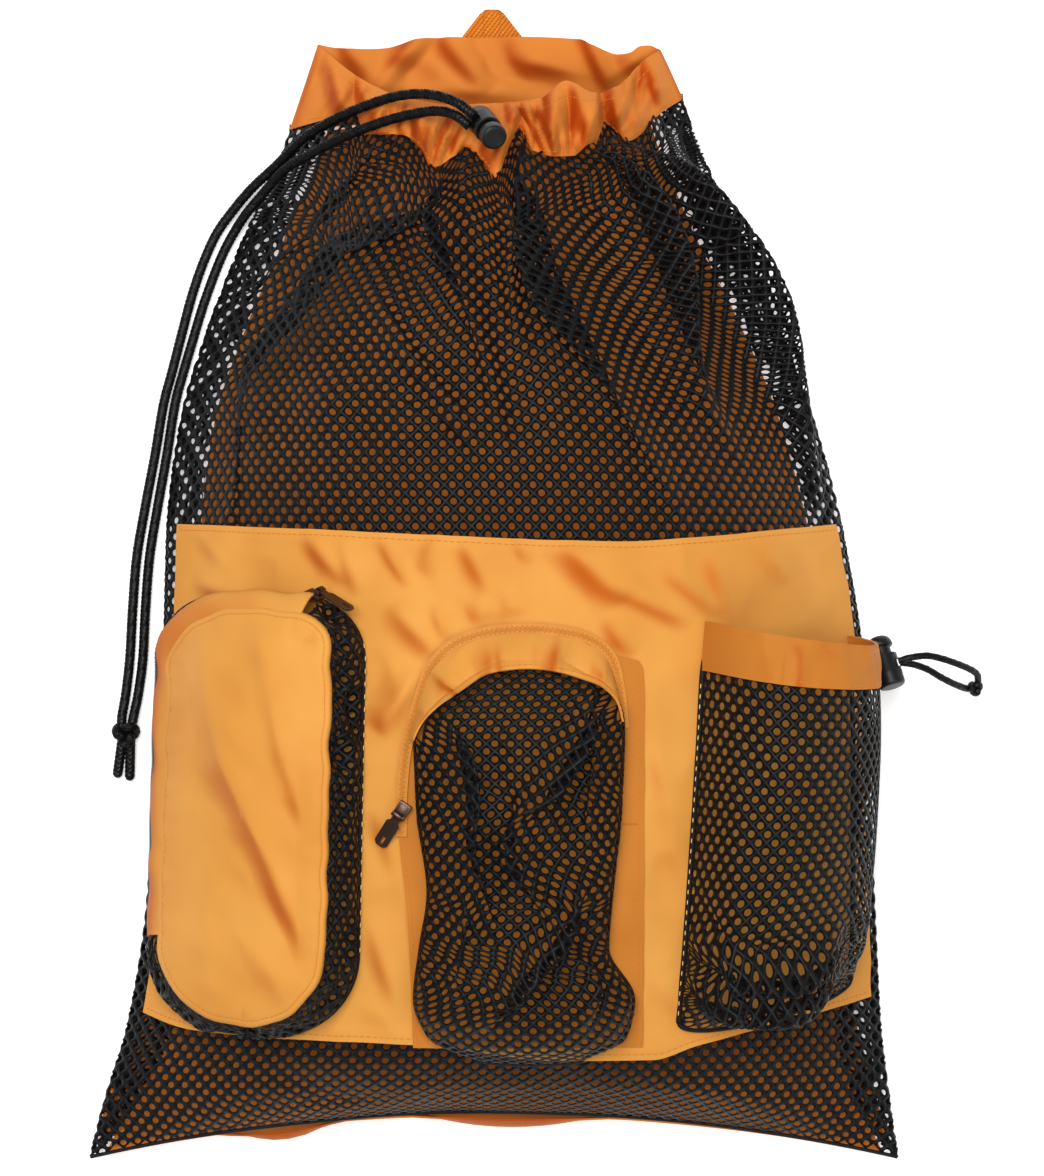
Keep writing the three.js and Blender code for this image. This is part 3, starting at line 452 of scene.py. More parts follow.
DRAWSTRING_LOWER = [
    (-11, 233.2, 80.7), (-17.5, 238.5, 78.6), (-26, 241.4, 73.4), (-40.5, 240.7, 65), (-57, 237.2, 55.8),
    (-73.7, 231.7, 47.4), (-90.6, 224.7, 35.8), (-107.7, 216.2, 21), (-119, 204.6, 13), (-127.6, 195, 8.8),
    (-134, 186, 4.6), (-140.4, 174.2, 3.1), (-149.8, 149.8, 3.1), (-156.6, 127.4, 3.1), (-160.8, 113, 3.1),
    (-165, 97.4, 3.1), (-169.6, 69.3, 3.1), (-174.5, 41.7, 3.1), (-178.6, 16.2, 3.1), (-180.8, -11.5, 3.1),
    (-182.2, -37.6, 3.1), (-184.8, -56.8, 3.2), (-187.2, -68.5, 4.4), (-188, -73.5, 5.6),
]
ELASTIC_UPPER = [
    (208.9, -37.6, 40.2), (214.6, -35.8, 40.8), (224, -34.8, 38), (232, -36.4, 33.6), (240, -39, 27.4),
    (247.2, -41.8, 20), (251.8, -44.6, 13.2), (253, -47.8, 7.7), (252.6, -50.4, 5.6),
]
ELASTIC_LOWER = [
    (210.2, -38.4, 36.4), (215.8, -39, 36), (224.4, -41.8, 31.4), (231.5, -45.8, 26), (238.5, -49.2, 19),
    (244, -51.4, 11.6), (246.6, -52.2, 6.8), (249.4, -52.4, 5.2),
]
DRAWSTRING_TAILS = [[(-192.6, -78.5, 5.4), (-195.6, -99, 3.2)], [(-188.4, -78.8, 5.4), (-189, -100.5, 3.2)]]


CORD_SIDES = 24
KNOT_SIDES = 28
TAIL_LAY = 2.3


def free_cord(name, route, diameter):
    """A braided cord from its lock to its knot."""
    line = spaced(smooth_line(route), 0.7)
    points, faces = braided(line, diameter, diameter * BRAID_LAY, CORD_SIDES)
    obj = new_piece(name + "_cord", points, faces, "cord", [name], sharp=0)


def knot(name, at, reach, rise, diameter):
    """An overhand knot drawn tight: a three-lobed loop of the cord."""
    t = np.linspace(0, 2 * np.pi, 120, endpoint=False)
    x = reach * (np.sin(t) + 2 * np.sin(2 * t)) / 3
    y = reach * (np.cos(t) - 2 * np.cos(2 * t)) / 3
    line = stacked(x, y, -rise * np.sin(3 * t)) + np.asarray(at)
    points, faces = braided(line, diameter, diameter * BRAID_LAY, KNOT_SIDES, closed=True)
    return new_piece(name + "_cord", points, faces, "cord", [name], sharp=0)


drawstring_knot = knot("drawstring_knot", (-190.6, -76, 6.4), 5.2, 3.2, 5.4)
elastic_knot = knot("bottle_elastic_knot", (251.8, -52.2, 4.7), 2.6, 2.2, 3.6)
for number, ends in enumerate(DRAWSTRING_TAILS, 1):
    tail_line = spaced(np.asarray(ends, float), 0.5)
    points, faces = braided(tail_line, DRAWSTRING, TAIL_LAY, KNOT_SIDES, rounded=True)
    node = f"drawstring_tail_{number}"
    new_piece(node + "_cord", points, faces, "cord", [node], sharp=0)
free_cord("drawstring_upper", DRAWSTRING_UPPER, DRAWSTRING)
free_cord("drawstring_lower", DRAWSTRING_LOWER, DRAWSTRING)
free_cord("bottle_elastic_upper", ELASTIC_UPPER, ELASTIC)
free_cord("bottle_elastic_lower", ELASTIC_LOWER, ELASTIC)

# %% [markdown]
# ## The sack's shape
# The front of the sack is a pillow: each row across it has its own width, depth and roundness. Towards
# the collar the cloth is gathered, so the seam there runs up and down and in and out. A sculpted shell
# would do, but everything sewn on the front has to lie on it. Here all of it asks this one surface for its
# place, so that pockets sit on the band and the band on the netting.

# %% Front surface
SACK_NAMES = ("y", "bow", "left", "right", "depth", "flare", "inset", "fold", "gather")
SACK = np.array([
    (-296, 25, -210, 212, 20, 1.2, 7, 3.9, 0),
    (-284, 22, -207, 210, 45, 1.2, 11, 3.9, 0),
    (-262, 10, -201, 207, 64, 1.1, 20, 3.9, 0),
    (-230, 0, -191, 203, 80, 1, 24, 3.9, 0),
    (-170, 0, -181, 200, 93, 1, 22, 3.9, 0),
    (-100, 0, -176, 197, 100, 1, 20, 3.9, 0),
    (-40, 0, -172, 194, 102, 1, 18, 1.7, 0),
    (31, 0, -170, 183, 100, 1, 18, 1.7, 0),
    (87, 0, -163, 168, 95, 1.1, 18, 1.7, 0.08),
    (134, 0, -149.5, 150, 89, 1.2, 20, 1.7, 0.22),
    (181, 0, -131.5, 127, 80, 1.3, 22, 1.7, 0.45),
    (215, 0, -116.5, 111, 70, 1.2, 22, 1.7, 0.8),
    (240, 0, -106, 100, 60, 1, 20, 1.7, 1),
])
SACK_LOW = -296.0
SACK_HIGH = 240.0
FULLNESS = 2.6
SIDE_TURN = 1
FOLD_RISE = 4.4
BACK_Z = 3.9
SEAM = np.array([
    (-1, -3), (-0.78, 1), (-0.66, 3), (-0.6, -9), (-0.42, -10), (-0.32, -18), (-0.265, -28), (-0.155, -22),
    (-0.108, -17), (0, -27), (0.053, -35), (0.098, -22), (0.167, -7), (0.235, -19), (0.346, -22),
    (0.515, -20), (0.614, -4), (0.706, -12), (0.9, 6), (1, 13),
])
SEAM_MIDDLE = -14
PLEAT_RISE = 0.55
BAND_LIFT = 1.7
ON_BAND = 2.6
PANEL_LIFT = 3.1
ON_PANEL = 4.0


def sack_row(y):
    """The sizes of the sack's row at a height, with its middle and half its width."""
    row = {name: column(SACK, k, y) for k, name in enumerate(SACK_NAMES)}
    row["middle"] = (row["left"] + row["right"]) / 2
    row["half"] = (row["right"] - row["left"]) / 2
    return row


def front_rise(s, row):
    """The height of the smooth front at a share s of the way from the middle of a row to its side."""
    edge = row["fold"] + FOLD_RISE
    bulge = np.maximum(0, 1 - np.abs(s) ** FULLNESS) ** row["flare"]
    return edge + (row["depth"] - edge) * bulge


def front_of_row(s, y):
    """The front at a share s of a row, with its gathers."""
    row = sack_row(y)
    shift = column(SEAM, 1, s)
    pleat = PLEAT_RISE * (SEAM_MIDDLE - shift) * np.sqrt(np.maximum(0, 1 - s * s))
    x = row["middle"] + (row["half"] - SIDE_TURN) * s
    py = y + row["bow"] * (1 - s * s) + row["gather"] * shift
    pz = front_rise(s, row) + row["gather"] * pleat
    return np.stack(np.broadcast_arrays(x, py, pz), axis=-1)


def front_height(x, y):
    """The height of the front over a place in plan."""
    row = sack_row(y)
    return front_rise((x - row["middle"]) / (row["half"] - SIDE_TURN), row)


def on_front(x, y, lift=0.0):
    """A point over a place in plan, raised off the front along the front's own normal."""
    x, y, lift = np.broadcast_arrays(np.asarray(x, float), y, lift)
    step = 0.5
    slope_x = (front_height(x - step, y) - front_height(x + step, y)) / (2 * step)
    slope_y = (front_height(x, y - step) - front_height(x, y + step)) / (2 * step)
    normal = unit(stacked(slope_x, slope_y, np.ones_like(slope_x)))
    return stacked(x, y, front_height(x, y)) + normal * lift[..., None]


print("front stands", np.round(front_height(np.array([0.0, 100.0]), -100.0), 1), "mm high")

# %% [markdown]
# ## Netting
# The netting is one knitted sheet with a staggered pattern of round holes. A see-through material would be
# light, but it has no edges and casts no shadow of strands, so each hole is built: a ring of points inside
# a diamond-shaped cell, whose border is thicker than the hole's edge, so that the strands are round. The
# cells are laid out flat, in cloth coordinates, and carried onto a curved surface that is unrolled by its
# length. Holes then keep their size over every fold and crowd together where the cloth turns away.

# %% Unrolled surfaces
class Unrolled:
    """A curved sheet by cloth coordinates: u along each row from its middle, v along its columns."""

    def __init__(self, rows, step=1.0, cut=0.0, start=0, even_over=1000.0):
        middle = rows.shape[1] // 2
        along = lengths_along(rows, 1)
        spread = np.maximum(1, cut / along[:, -1:])
        along = (along - along[:, middle : middle + 1]) * spread
        self.step = step
        self.u = np.arange(np.floor(along.min()), np.ceil(along.max()) + step, step)
        even = np.stack(
            [[np.interp(self.u, a, r[:, k]) for a, r in zip(along, rows)] for k in range(3)], axis=-1
        )
        up = lengths_along(even, 0)
        near = np.exp(-(((self.u[:, None] - self.u[None]) / even_over) ** 2))
        up = up @ near / near.sum(axis=0)
        up = up - up[start]
        self.v = np.arange(np.floor(up.min()), np.ceil(up.max()) + step, step)
        numbers = np.arange(len(rows))
        row_at = np.stack([np.interp(self.v, reach, numbers) for reach in up.T], axis=1)
        low = np.minimum(row_at.astype(int), len(rows) - 2)
        share = (row_at - low)[..., None]
        column = np.arange(len(self.u))[None]
        self.points = even[low, column] * (1 - share) + even[low + 1, column] * share
        self.normals = grid_normals(self.points)
        self.sides = [np.interp(row_at, numbers, along[:, k]) for k in (0, -1)]
        self.ends = up[0], up[-1]

    def place(self, u, v):
        i = np.clip((v - self.v[0]) / self.step, 0, len(self.v) - 1.001)
        j = np.clip((u - self.u[0]) / self.step, 0, len(self.u) - 1.001)
        return i, j

    def at(self, u, v, lift=0.0):
        """The point at cloth coordinates, raised along the sheet's normal."""
        i, j = self.place(u, v)
        r = np.floor(i).astype(int)
        c = np.floor(j).astype(int)
        a = (i - r)[..., None]
        b = (j - c)[..., None]
        made = []
        for grid in (self.points, self.normals):
            low = grid[r, c] * (1 - b) + grid[r, c + 1] * b
            high = grid[r + 1, c] * (1 - b) + grid[r + 1, c + 1] * b
            made.append(low * (1 - a) + high * a)
        return made[0] + unit(made[1]) * np.asarray(lift)[..., None]

    def holds(self, u, v, margin):
        """Whether a place in cloth coordinates is on the sheet, a margin inside its edges."""
        i, j = (np.round(a).astype(int) for a in self.place(u, v))
        across = (u > self.sides[0][i, j] + margin) & (u < self.sides[1][i, j] - margin)
        return across & (v > self.ends[0][j] + margin) & (v < self.ends[1][j] - margin)


print("surfaces can be unrolled")

# %% Net cells
HOLE_RADIUS = 1.8
CELL = 4.2
STRAND_HALF = 0.45
EDGE_STRAND = 0.5
BORDER = np.array([
    (3, 0), (2, 1), (1, 2), (0, 3), (-1, 2), (-2, 1), (-3, 0), (-2, -1), (-1, -2), (0, -3), (1, -2), (2, -1),
])


def net_cells(surface, keep, margin):
    """Columns and rows of the cells on a surface where keep(v, point) holds."""
    columns = np.arange(math.floor(surface.u[0] / CELL), math.ceil(surface.u[-1] / CELL) + 1)
    rows = np.arange(math.floor(surface.v[0] / CELL), math.ceil(surface.v[-1] / CELL) + 1)
    i, j = (a.ravel() for a in np.meshgrid(columns, rows))
    staggered = (i + j) % 2 == 0
    i, j = i[staggered], j[staggered]
    u, v = i * CELL, j * CELL
    kept = surface.holds(u, v, margin) & keep(v, surface.at(u, v))
    return i[kept], j[kept]


def net_mesh(surface, i, j, hole_radius):
    """Points, faces and cloth coordinates of cells with their strands closed all round."""
    count = len(i)
    u, v = i * CELL, j * CELL
    keys = stacked(3 * i[:, None] + BORDER[:, 0], 3 * j[:, None] + BORDER[:, 1])
    border, back, times = np.unique(keys.reshape(-1, 2), axis=0, return_inverse=True, return_counts=True)
    back = back.reshape(count, 12)
    at_corner = (border[:, 0] % 3 == 0) & (border[:, 1] % 3 == 0)
    joined = times == np.where(at_corner, 4, 2)
    border_u, border_v = (border * CELL / 3).T
    turn = np.arange(12) * np.pi / 6
    hole_u = u[:, None] + hole_radius * np.cos(turn)
    hole_v = v[:, None] + hole_radius * np.sin(turn)
    lift = np.where(joined, STRAND_HALF, EDGE_STRAND * STRAND_HALF)
    over = surface.at(border_u, border_v, lift)
    under = surface.at(border_u, border_v, -lift)
    holes = surface.at(hole_u, hole_v, np.zeros_like(hole_u)).reshape(-1, 3)
    points = np.concatenate([holes, over, under])
    hole = np.arange(12 * count).reshape(count, 12)
    top = 12 * count + back
    bottom = top + len(border)
    nexthole, nexttop, nextbottom = (np.roll(a, -1, axis=1) for a in (hole, top, bottom))
    sides = np.sort(stacked(top, nexttop).reshape(-1, 2), axis=1)
    _, which, uses = np.unique(sides, axis=0, return_inverse=True, return_counts=True)
    outer = uses[which.ravel()] == 1
    faces = np.concatenate([
        stacked(hole, top, nexttop, nexthole).reshape(-1, 4),
        stacked(nexthole, nextbottom, bottom, hole).reshape(-1, 4),
        stacked(nexttop, top, bottom, nextbottom).reshape(-1, 4)[outer],
    ])
    flat = np.stack([np.concatenate([hole_u.ravel(), border_u, border_u]),
                     np.concatenate([hole_v.ravel(), border_v, border_v])], axis=-1)
    return points, faces, flat


def net(name, surface, keep, nodes, margin=1.0, hole_radius=HOLE_RADIUS):
    """Netting over the part of a surface where keep(v, point) holds."""
    i, j = net_cells(surface, keep, margin)
    points, faces, flat = net_mesh(surface, i, j, hole_radius)
    obj = new_piece(name, points, faces, "netting", nodes, uv=flat, sharp=0)


print("holes", round(CELL * math.sqrt(2), 1), "mm apart")

# %% [markdown]
# ## The sack's netting
# The sack is cut wide and drawn in at the collar, so its netting falls into long diagonal folds. Each fold
# is a table down its length of where it runs, how far it stands up, how wide it is and how far it leans
# over, so that it lies where the real one does. Netting that the sewn band hides is left out, and the rest
# is two pieces, one above the band and one below it.

# %% Folds of the netting
NET_FOLDS = [
    [(-28, 214, 0, 11, 0.2), (-35, 204, 12, 11, 0.5), (-73, 194, 18, 11, 0.6), (-92, 185, 18, 11, 0.6),
     (-110, 157, 18, 10, 0.6), (-135, 123, 16, 9, 0.5), (-138, 101, 13, 8, 0.4), (-139, 40, 8, 8, 0.3),
     (-140, 22, 0, 8, 0)],
    [(-24, 214, 0, 8, 0), (-22, 194, 14, 8, -0.4), (-12, 165, 13, 8, -0.5), (-7, 147, 10, 8, -0.4),
     (2, 96, 5, 8, 0), (6, 60, 0, 8, 0)],
    [(16, 228, 4, 9, 0), (24, 212, 16, 10, -0.4), (35, 194, 20, 10, -0.6), (44, 162, 20, 10, -0.7),
     (58, 132, 17, 10, -0.6), (70, 101, 12, 9, -0.4), (85, 63, 7, 8, -0.2), (99, 30, 0, 8, 0)],
    [(46, 228, 4, 8, 0), (50, 218, 14, 8, 0.3), (65, 194, 18, 9, 0.6), (81, 147, 17, 9, 0.7),
     (93, 120, 13, 9, 0.5), (104, 101, 9, 8, 0.3), (120, 78, 4, 8, 0), (132, 56, 0, 8, 0)],
    [(56, 232, 4, 9, 0), (85, 206, 18, 10, 0.5), (108, 169, 20, 10, 0.7), (130, 138, 18, 10, 0.7),
     (145, 107, 14, 9, 0.6), (157, 83, 10, 9, 0.4), (165, 63, 6, 8, 0.2), (172, 36, 0, 8, 0)],
    [(-60, 226, 4, 8, 0), (-84, 212, 14, 8, 0.5), (-108, 186, 12, 8, 0.5), (-128, 158, 8, 8, 0.3),
     (-142, 128, 0, 8, 0)],
    [(4, 206, 3, 7, 0), (6, 184, 10, 7, 0.3), (10, 150, 6, 7, 0), (16, 112, 0, 7, 0)],
    [(82, 240, 4, 7, 0), (104, 206, 10, 8, 0.4), (124, 172, 10, 8, 0.4), (142, 138, 5, 8, 0),
     (150, 112, 0, 8, 0)],
    [(-64, 168, 0, 10, 0), (-52, 130, 5, 9, 0.2), (-24, 92, 5, 9, 0.2), (0, 60, 0, 9, 0)],
]
LOW_FOLDS = [
    (-160, -290, -20, -258, 7, 5), (-30, -262, 90, -284, 7, 4), (60, -246, 180, -276, 8, 4),
    (-120, -246, -40, -270, 8, -3), (20, -250, 70, -268, 6, -2),
]
FOLD_LEAN = 2.1


def fold_of(x, y, fold):
    """How far one fold moves the netting at a place in plan: sideways, along and up."""
    line = smooth_line(fold, 6)
    start, run = line[:-1, :2], np.diff(line[:, :2], axis=0)
    nearest = np.full(x.shape, np.inf)
    moved = np.zeros((*x.shape, 3))
    for k, ((x0, y0), (dx, dy)) in enumerate(zip(start, run)):
        length = math.hypot(dx, dy)
        t = np.clip(((x - x0) * dx + (y - y0) * dy) / length**2, 0, 1)
        away = np.hypot(x - x0 - t * dx, y - y0 - t * dy)
        rise, width, lean = (line[k, c] + (line[k + 1, c] - line[k, c]) * t for c in (2, 3, 4))
        bump = np.where(away < width, np.cos(np.pi / 2 * away / width) ** 2, 0) * np.maximum(rise, 0)
        over = bump * lean * FOLD_LEAN
        here = stacked(-dy / length * over, dx / length * over, bump)
        moved = np.where((away < nearest)[..., None], here, moved)
        nearest = np.minimum(nearest, away)
    return moved


def folded(points):
    """The front with the folds of its netting, which stand up and lean over."""
    x, y = points[..., 0], points[..., 1]
    moved = points + sum(fold_of(x, y, fold) for fold in NET_FOLDS)
    moved[..., 2] += creases(x, y, LOW_FOLDS)
    ruffle = 2.2 * ripple(x, y, wavelength=40, seed=3) * smoothstep(y, 30, 90)
    moved[..., 2] += ruffle * smoothstep(points[..., 2], 10, 40)
    return moved


print(len(NET_FOLDS), "long folds")


# %% The sack from seam to seam
def sack_rows(y):
    """Rows of points right across the sack: back seam, side fold, front, side fold, back seam."""
    s = np.linspace(-1, 1, 401)
    front = folded(front_of_row(s[None], y[:, None]))
    row = sack_row(y)
    sides = []
    for end, outline, inwards in ((0, row["left"], 1), (-1, row["right"], -1)):
        corner = front[:, end]
        slope = (front[:, -1, 1] - front[:, 0, 1]) / (front[:, -1, 0] - front[:, 0, 0])
        seam_x = outline + inwards * row["inset"]
        seam_y = corner[:, 1] + slope * (seam_x - corner[:, 0])
        seam = stacked(seam_x, seam_y, np.full_like(y, BACK_Z))
        heel = stacked(outline + inwards * 4, corner[:, 1], row["fold"])
        edge = stacked(outline, corner[:, 1], row["fold"] + FOLD_RISE / 2)
        keys = np.stack([seam, heel, edge, corner], axis=1)
        share = np.linspace(0, 3, 16)[:-1]
        low = share.astype(int)
        part = (share - low)[:, None]
        sides.append(keys[:, low] * (1 - part) + keys[:, low + 1] * part)
    return np.concatenate([sides[0], front, sides[1][:, ::-1]], axis=1)


BAND_TOP = np.array([(-180, 34), (-120, 31), (-60, 28), (0, 25), (60, 23), (110, 26), (150, 30), (190, 34)])
BAND_BOTTOM = np.array([
    (-190, -217), (-150, -227), (-38, -230), (35, -238), (80, -238), (105, -231), (195, -212),
])
BAND_LEFT = -0.955
BAND_RIGHT = 0.97


def band_top(x):
    return column(BAND_TOP, 1, x)


def band_bottom(x):
    return column(BAND_BOTTOM, 1, x)


print("the band's upper edge dips to", band_top(60.0), "mm")

# %% Netting above and below the band
SACK_CUT = 480
UNDER_COLLAR = np.array([0, 5, -4.0])
LAP = 6
SIDE_LAP = 0.03
sack_heights = np.linspace(SACK_LOW, SACK_HIGH, 269)
rows_of_sack = sack_rows(sack_heights)
under_collar = rows_of_sack[-1:] + UNDER_COLLAR
under_collar[..., 2] = np.maximum(under_collar[..., 2], 1.4)
behind_band = int(np.argmin(np.abs(sack_heights - 10)))
sack = Unrolled(np.concatenate([rows_of_sack, under_collar]), cut=SACK_CUT, start=behind_band, even_over=60)


def beside_band(point):
    """Whether a point of the sack is clear of the band, or no more than its lap behind it."""
    x, y = point[..., 0], point[..., 1]
    row = sack_row(y)
    s = (x - row["middle"]) / row["half"]
    behind = (s > BAND_LEFT + SIDE_LAP) & (s < BAND_RIGHT - SIDE_LAP) & (point[..., 2] > 9)
    return ~(behind & (y > band_bottom(x) + LAP) & (y < band_top(x) - LAP))


net("netting_upper", sack, lambda v, point: beside_band(point) & (v > 0), ["mesh_body"])
net("netting_lower", sack, lambda v, point: beside_band(point) & (v <= 0), ["mesh_body"])


def rolled_edge(name, line, radius):
    """A rolled or bound edge of netting along a line."""
    points, faces = tube_mesh(spaced(line, 1.5), radius, sides=10)
    new_piece(name, points, faces, "netting_edge", sharp=0)


bottom_edge = folded(front_of_row(np.linspace(-1, 1, 200)[None], np.array([[SACK_LOW]])))[0]
rolled_edge("bottom_seam", bottom_edge, radius=1.0)

# %% [markdown]
# ## Stitching
# Topstitching shows as rows of short raised threads. One object for each would be slow, so all the stitches
# of one colour are gathered while the pieces are made and become a single mesh of rounded rods at the end.

# %% Rows of stitches
STITCHES = {}
THREAD_WIDTH = 0.62
THREAD_HEIGHT = 0.6
SINK = 0.05


def rods(centre, along, up, length, width, height):
    """Points and faces of many small rounded rods."""
    side = unit(np.cross(up, along))
    up = np.cross(along, side)
    where = np.array([-0.5, -0.38, 0.0, 0.38, 0.5]) * length
    size = np.array([0.25, 0.8, 1.0, 0.8, 0.25])
    angle = np.arange(6) * np.pi / 3
    ring_side = (size[:, None] * np.cos(angle) * width / 2).ravel()
    ring_up = (size[:, None] * np.sin(angle) * height / 2).ravel()
    ring_along = np.repeat(where, 6)
    points = (
        centre[:, None]
        + along[:, None] * ring_along[:, None]
        + side[:, None] * ring_side[:, None]
        + up[:, None] * ring_up[:, None]
    )
    index = np.arange(30).reshape(5, 6)
    around = np.roll(index, -1, axis=1)
    sides = stacked(index[:-1], around[:-1], around[1:], index[1:]).reshape(-1, 4)
    ends = [(0, 3, 2, 1), (0, 5, 4, 3), (24, 25, 26, 27), (24, 27, 28, 29)]
    faces = np.concatenate([sides, ends])
    shift = 30 * np.arange(len(centre))[:, None, None]
    return points.reshape(-1, 3), (faces[None] + shift).reshape(-1, 4)


def stitch(line, normals, colour="thread_orange", pitch=3.4, length=2.5):
    """Adds a row of stitches along a line on cloth with the given normals, or one normal for all."""
    normals = np.broadcast_to(normals, line.shape)
    along = lengths_along(line[:, None], 0)[:, 0]
    at = np.arange(pitch, along[-1] - pitch / 2, pitch)
    tangent = unit(np.gradient(line, axis=0))
    centre, way, up = (along_line(values, along, at) for values in (line, tangent, normals))
    way, up = unit(way), unit(up)
    made = rods(centre - up * SINK, way, up, length, THREAD_WIDTH, THREAD_HEIGHT)
    STITCHES.setdefault(colour, []).append(made)


def row_on_grid(grid, thickness, place, axis, closed=False):
    """A line along a grid on its outer face, at a whole or fractional row or column, with its normals."""
    normals = grid_normals(grid, closed)
    face = grid + normals * np.broadcast_to(np.asarray(thickness, float), grid.shape[:2])[..., None] / 2
    low = int(np.floor(place))
    high = min(low + 1, grid.shape[axis] - 1)
    part = place - low
    return tuple(np.take(a, low, axis) * (1 - part) + np.take(a, high, axis) * part for a in (face, normals))


print("stitches wait for the sewn pieces")

# %% [markdown]
# ## The front band
# The band is coated nylon that is sewn over the netting. Its upper edge sags between the sides and its
# lower edge bows. The pockets pull diagonal creases into it, which are laid one by one, because a simulation
# would find others. Both edges are turned under, so the cloth is nearly twice as thick there.

# %% Creases of the band
BAND_CREASES = [
    (-17, 30, 2, -6, 7, 2.8), (-22, 30, -36, 8, 5, 1.6), (12, 28, 19, 12, 4, 1.6),
    (30, 30, 66, -8, 10, 4.4), (56, 2, 100, -18, 5, 2.2), (86, 8, 114, -14, 3.5, 2.0),
    (56, -14, 70, -34, 5, 2.0), (-10, -16, 4, -7, 6, 1.6), (4, -7, 18, -16, 6, 1.8),
    (-28, -8, -22, -26, 4, 2.0), (-50, -8, -26, -34, 8, 2.4), (-94, 32, -72, 2, 6, 3.0),
    (-74, 28, -66, -4, 5, 2.2), (-56, 26, -40, 0, 3, 1.8), (-152, 4, -120, -7, 7, 2.6),
    (-56, -72, -32, -40, 7, 3.8), (80, -60, 96, -150, 7, 1.0), (84, -196, 108, -228, 7, 1.6),
    (-58, -108, -42, -150, 6, 1.8), (-62, -160, -44, -218, 6, 1.8), (108, 22, 120, -20, 5, 2.0),
    (128, 30, 150, 2, 8, 1.6), (-150, 30, -130, 8, 6, 1.8), (100, -205, 140, -222, 5, 1.6),
    (-140, -218, -100, -226, 4, 1.0),
]
POUCH_PANEL = np.array([
    (-231, -39, 76), (-170, -41, 76), (-110, -46, 76), (-80, -43, 76), (-60, -38, 76), (-42, -31, 75.5),
    (-37, -28, 74), (-33, -24, 60), (-27, -15, 51), (-22, 0, 37), (-19, 12, 20),
])
BAND_SINK = 1.1


def under_panel(x, y):
    """1 where the pouch's panel lies on the band, 0 clear of it."""
    left, right = (column(POUCH_PANEL, k, y) for k in (1, 2))
    across = smoothstep(x, left - 8, left + 1) * (1 - smoothstep(x, right - 1, right + 8))
    return across * (1 - smoothstep(y, -16, -6))


def band_relief(x, y):
    """Height of the band's creases, which can rise freely but not sink far into the netting."""
    soft = 1.3 * creases(x, y, BAND_CREASES, wider=1.5, crisp=True)
    soft = soft + 0.4 * ripple(x, y, wavelength=34, seed=11) + 0.5 * ridged(x, y, wavelength=46, seed=12)
    soft = np.where(soft < 0, BAND_SINK * (np.exp(np.minimum(soft, 0) / BAND_SINK) - 1), soft)
    near_edge = smoothstep(np.minimum(band_top(x) - y, y - band_bottom(x)), -2, 9)
    return soft * (1 - under_panel(x, y)) * (0.35 + 0.65 * near_edge)


print(len(BAND_CREASES), "creases on the band")

# %% Front band
NYLON = 1.0
TURNED_UNDER = 0.9
BAND_COLUMNS = 232
BAND_ROWS = 166
COLUMN_STEP = 1.55
FIRST_LOW = -230
FIRST_HEIGHT = 261


def band_grid():
    """Places in plan over the band, row by row from its lower edge."""
    s = np.linspace(BAND_LEFT, BAND_RIGHT, BAND_COLUMNS)[None]
    t = np.linspace(0, 1, BAND_ROWS)[:, None]
    y = FIRST_LOW + FIRST_HEIGHT * t + 0 * s
    for _ in range(4):
        row = sack_row(y)
        x = row["middle"] + (row["half"] - SIDE_TURN) * s
        y = band_bottom(x) + (band_top(x) - band_bottom(x)) * t
    return x, y


band_x, band_y = band_grid()
band = on_front(band_x, band_y, BAND_LIFT + band_relief(band_x, band_y))
to_edge = np.minimum(band_top(band_x) - band_y, band_y - band_bottom(band_x))
columns = np.arange(BAND_COLUMNS)
to_side = np.minimum(columns, BAND_COLUMNS - 1 - columns)[None] * COLUMN_STEP
band_thickness = NYLON + TURNED_UNDER * (1 - smoothstep(np.minimum(to_edge, to_side), 6.5, 8.5))
plain_band = on_front(band_x, band_y, BAND_LIFT)
cloth("band", band, band_thickness, "nylon", ["front_band"], plain=plain_band)
for row in (1.9, BAND_ROWS - 2.9):
    stitch(*row_on_grid(band, band_thickness, row, 0))

# %% [markdown]
# ## The box pocket
# The pocket on the left is a shallow box: a rounded face on a gusset, with nylon over the top and down the
# left, and netting along the bottom and up the right. The face is slack, so long folds cross it, and its
# seam allowance makes a firm raised rim with topstitching inside it. A bevelled block would look solid; rings
# from the rim to the middle let the folds run out before the rim and the stitches follow it.

# %% Box pocket outlines
BOX_FOOT = {"left": -170, "right": -62, "bottom": -226, "top": -6, "lean": 5, "corners": (30, 34, 44, 42)}
BOX_FACE = {"left": -164, "right": -80, "bottom": -219, "top": -12, "lean": 6, "corners": (24, 32, 42, 38)}
BOX_DEPTH = 30
BOX_CROWN = 6
GUSSET_BULGE = 3
CORNER_STEPS = 17
SHORT_STEPS = 9
LONG_STEPS = 35


def rounded_outline(box):
    """Points round a box with four round corners, from its right side over the top."""
    ways = ((1, 1), (-1, 1), (-1, -1), (1, -1))
    corners = []
    for quarter, ((x_way, y_way), radius) in enumerate(zip(ways, box["corners"])):
        x = box["right" if x_way > 0 else "left"] - x_way * radius
        y = box["top" if y_way > 0 else "bottom"] - y_way * radius
        angle = np.pi / 2 * (quarter + np.linspace(0, 1, CORNER_STEPS))
        corners.append(stacked(x + radius * np.cos(angle), y + radius * np.sin(angle)))
    outline = []
    for quarter, corner in enumerate(corners):
        steps = (SHORT_STEPS, LONG_STEPS)[quarter % 2]
        share = np.linspace(0, 1, steps + 2)[1:-1, None]
        start, end = corner[-1], corners[(quarter + 1) % 4][0]
        outline += [corner, start + (end - start) * share]
    outline = np.concatenate(outline)
    outline[:, 0] += box["lean"] * (outline[:, 1] - box["top"]) / (box["top"] - box["bottom"])
    return outline


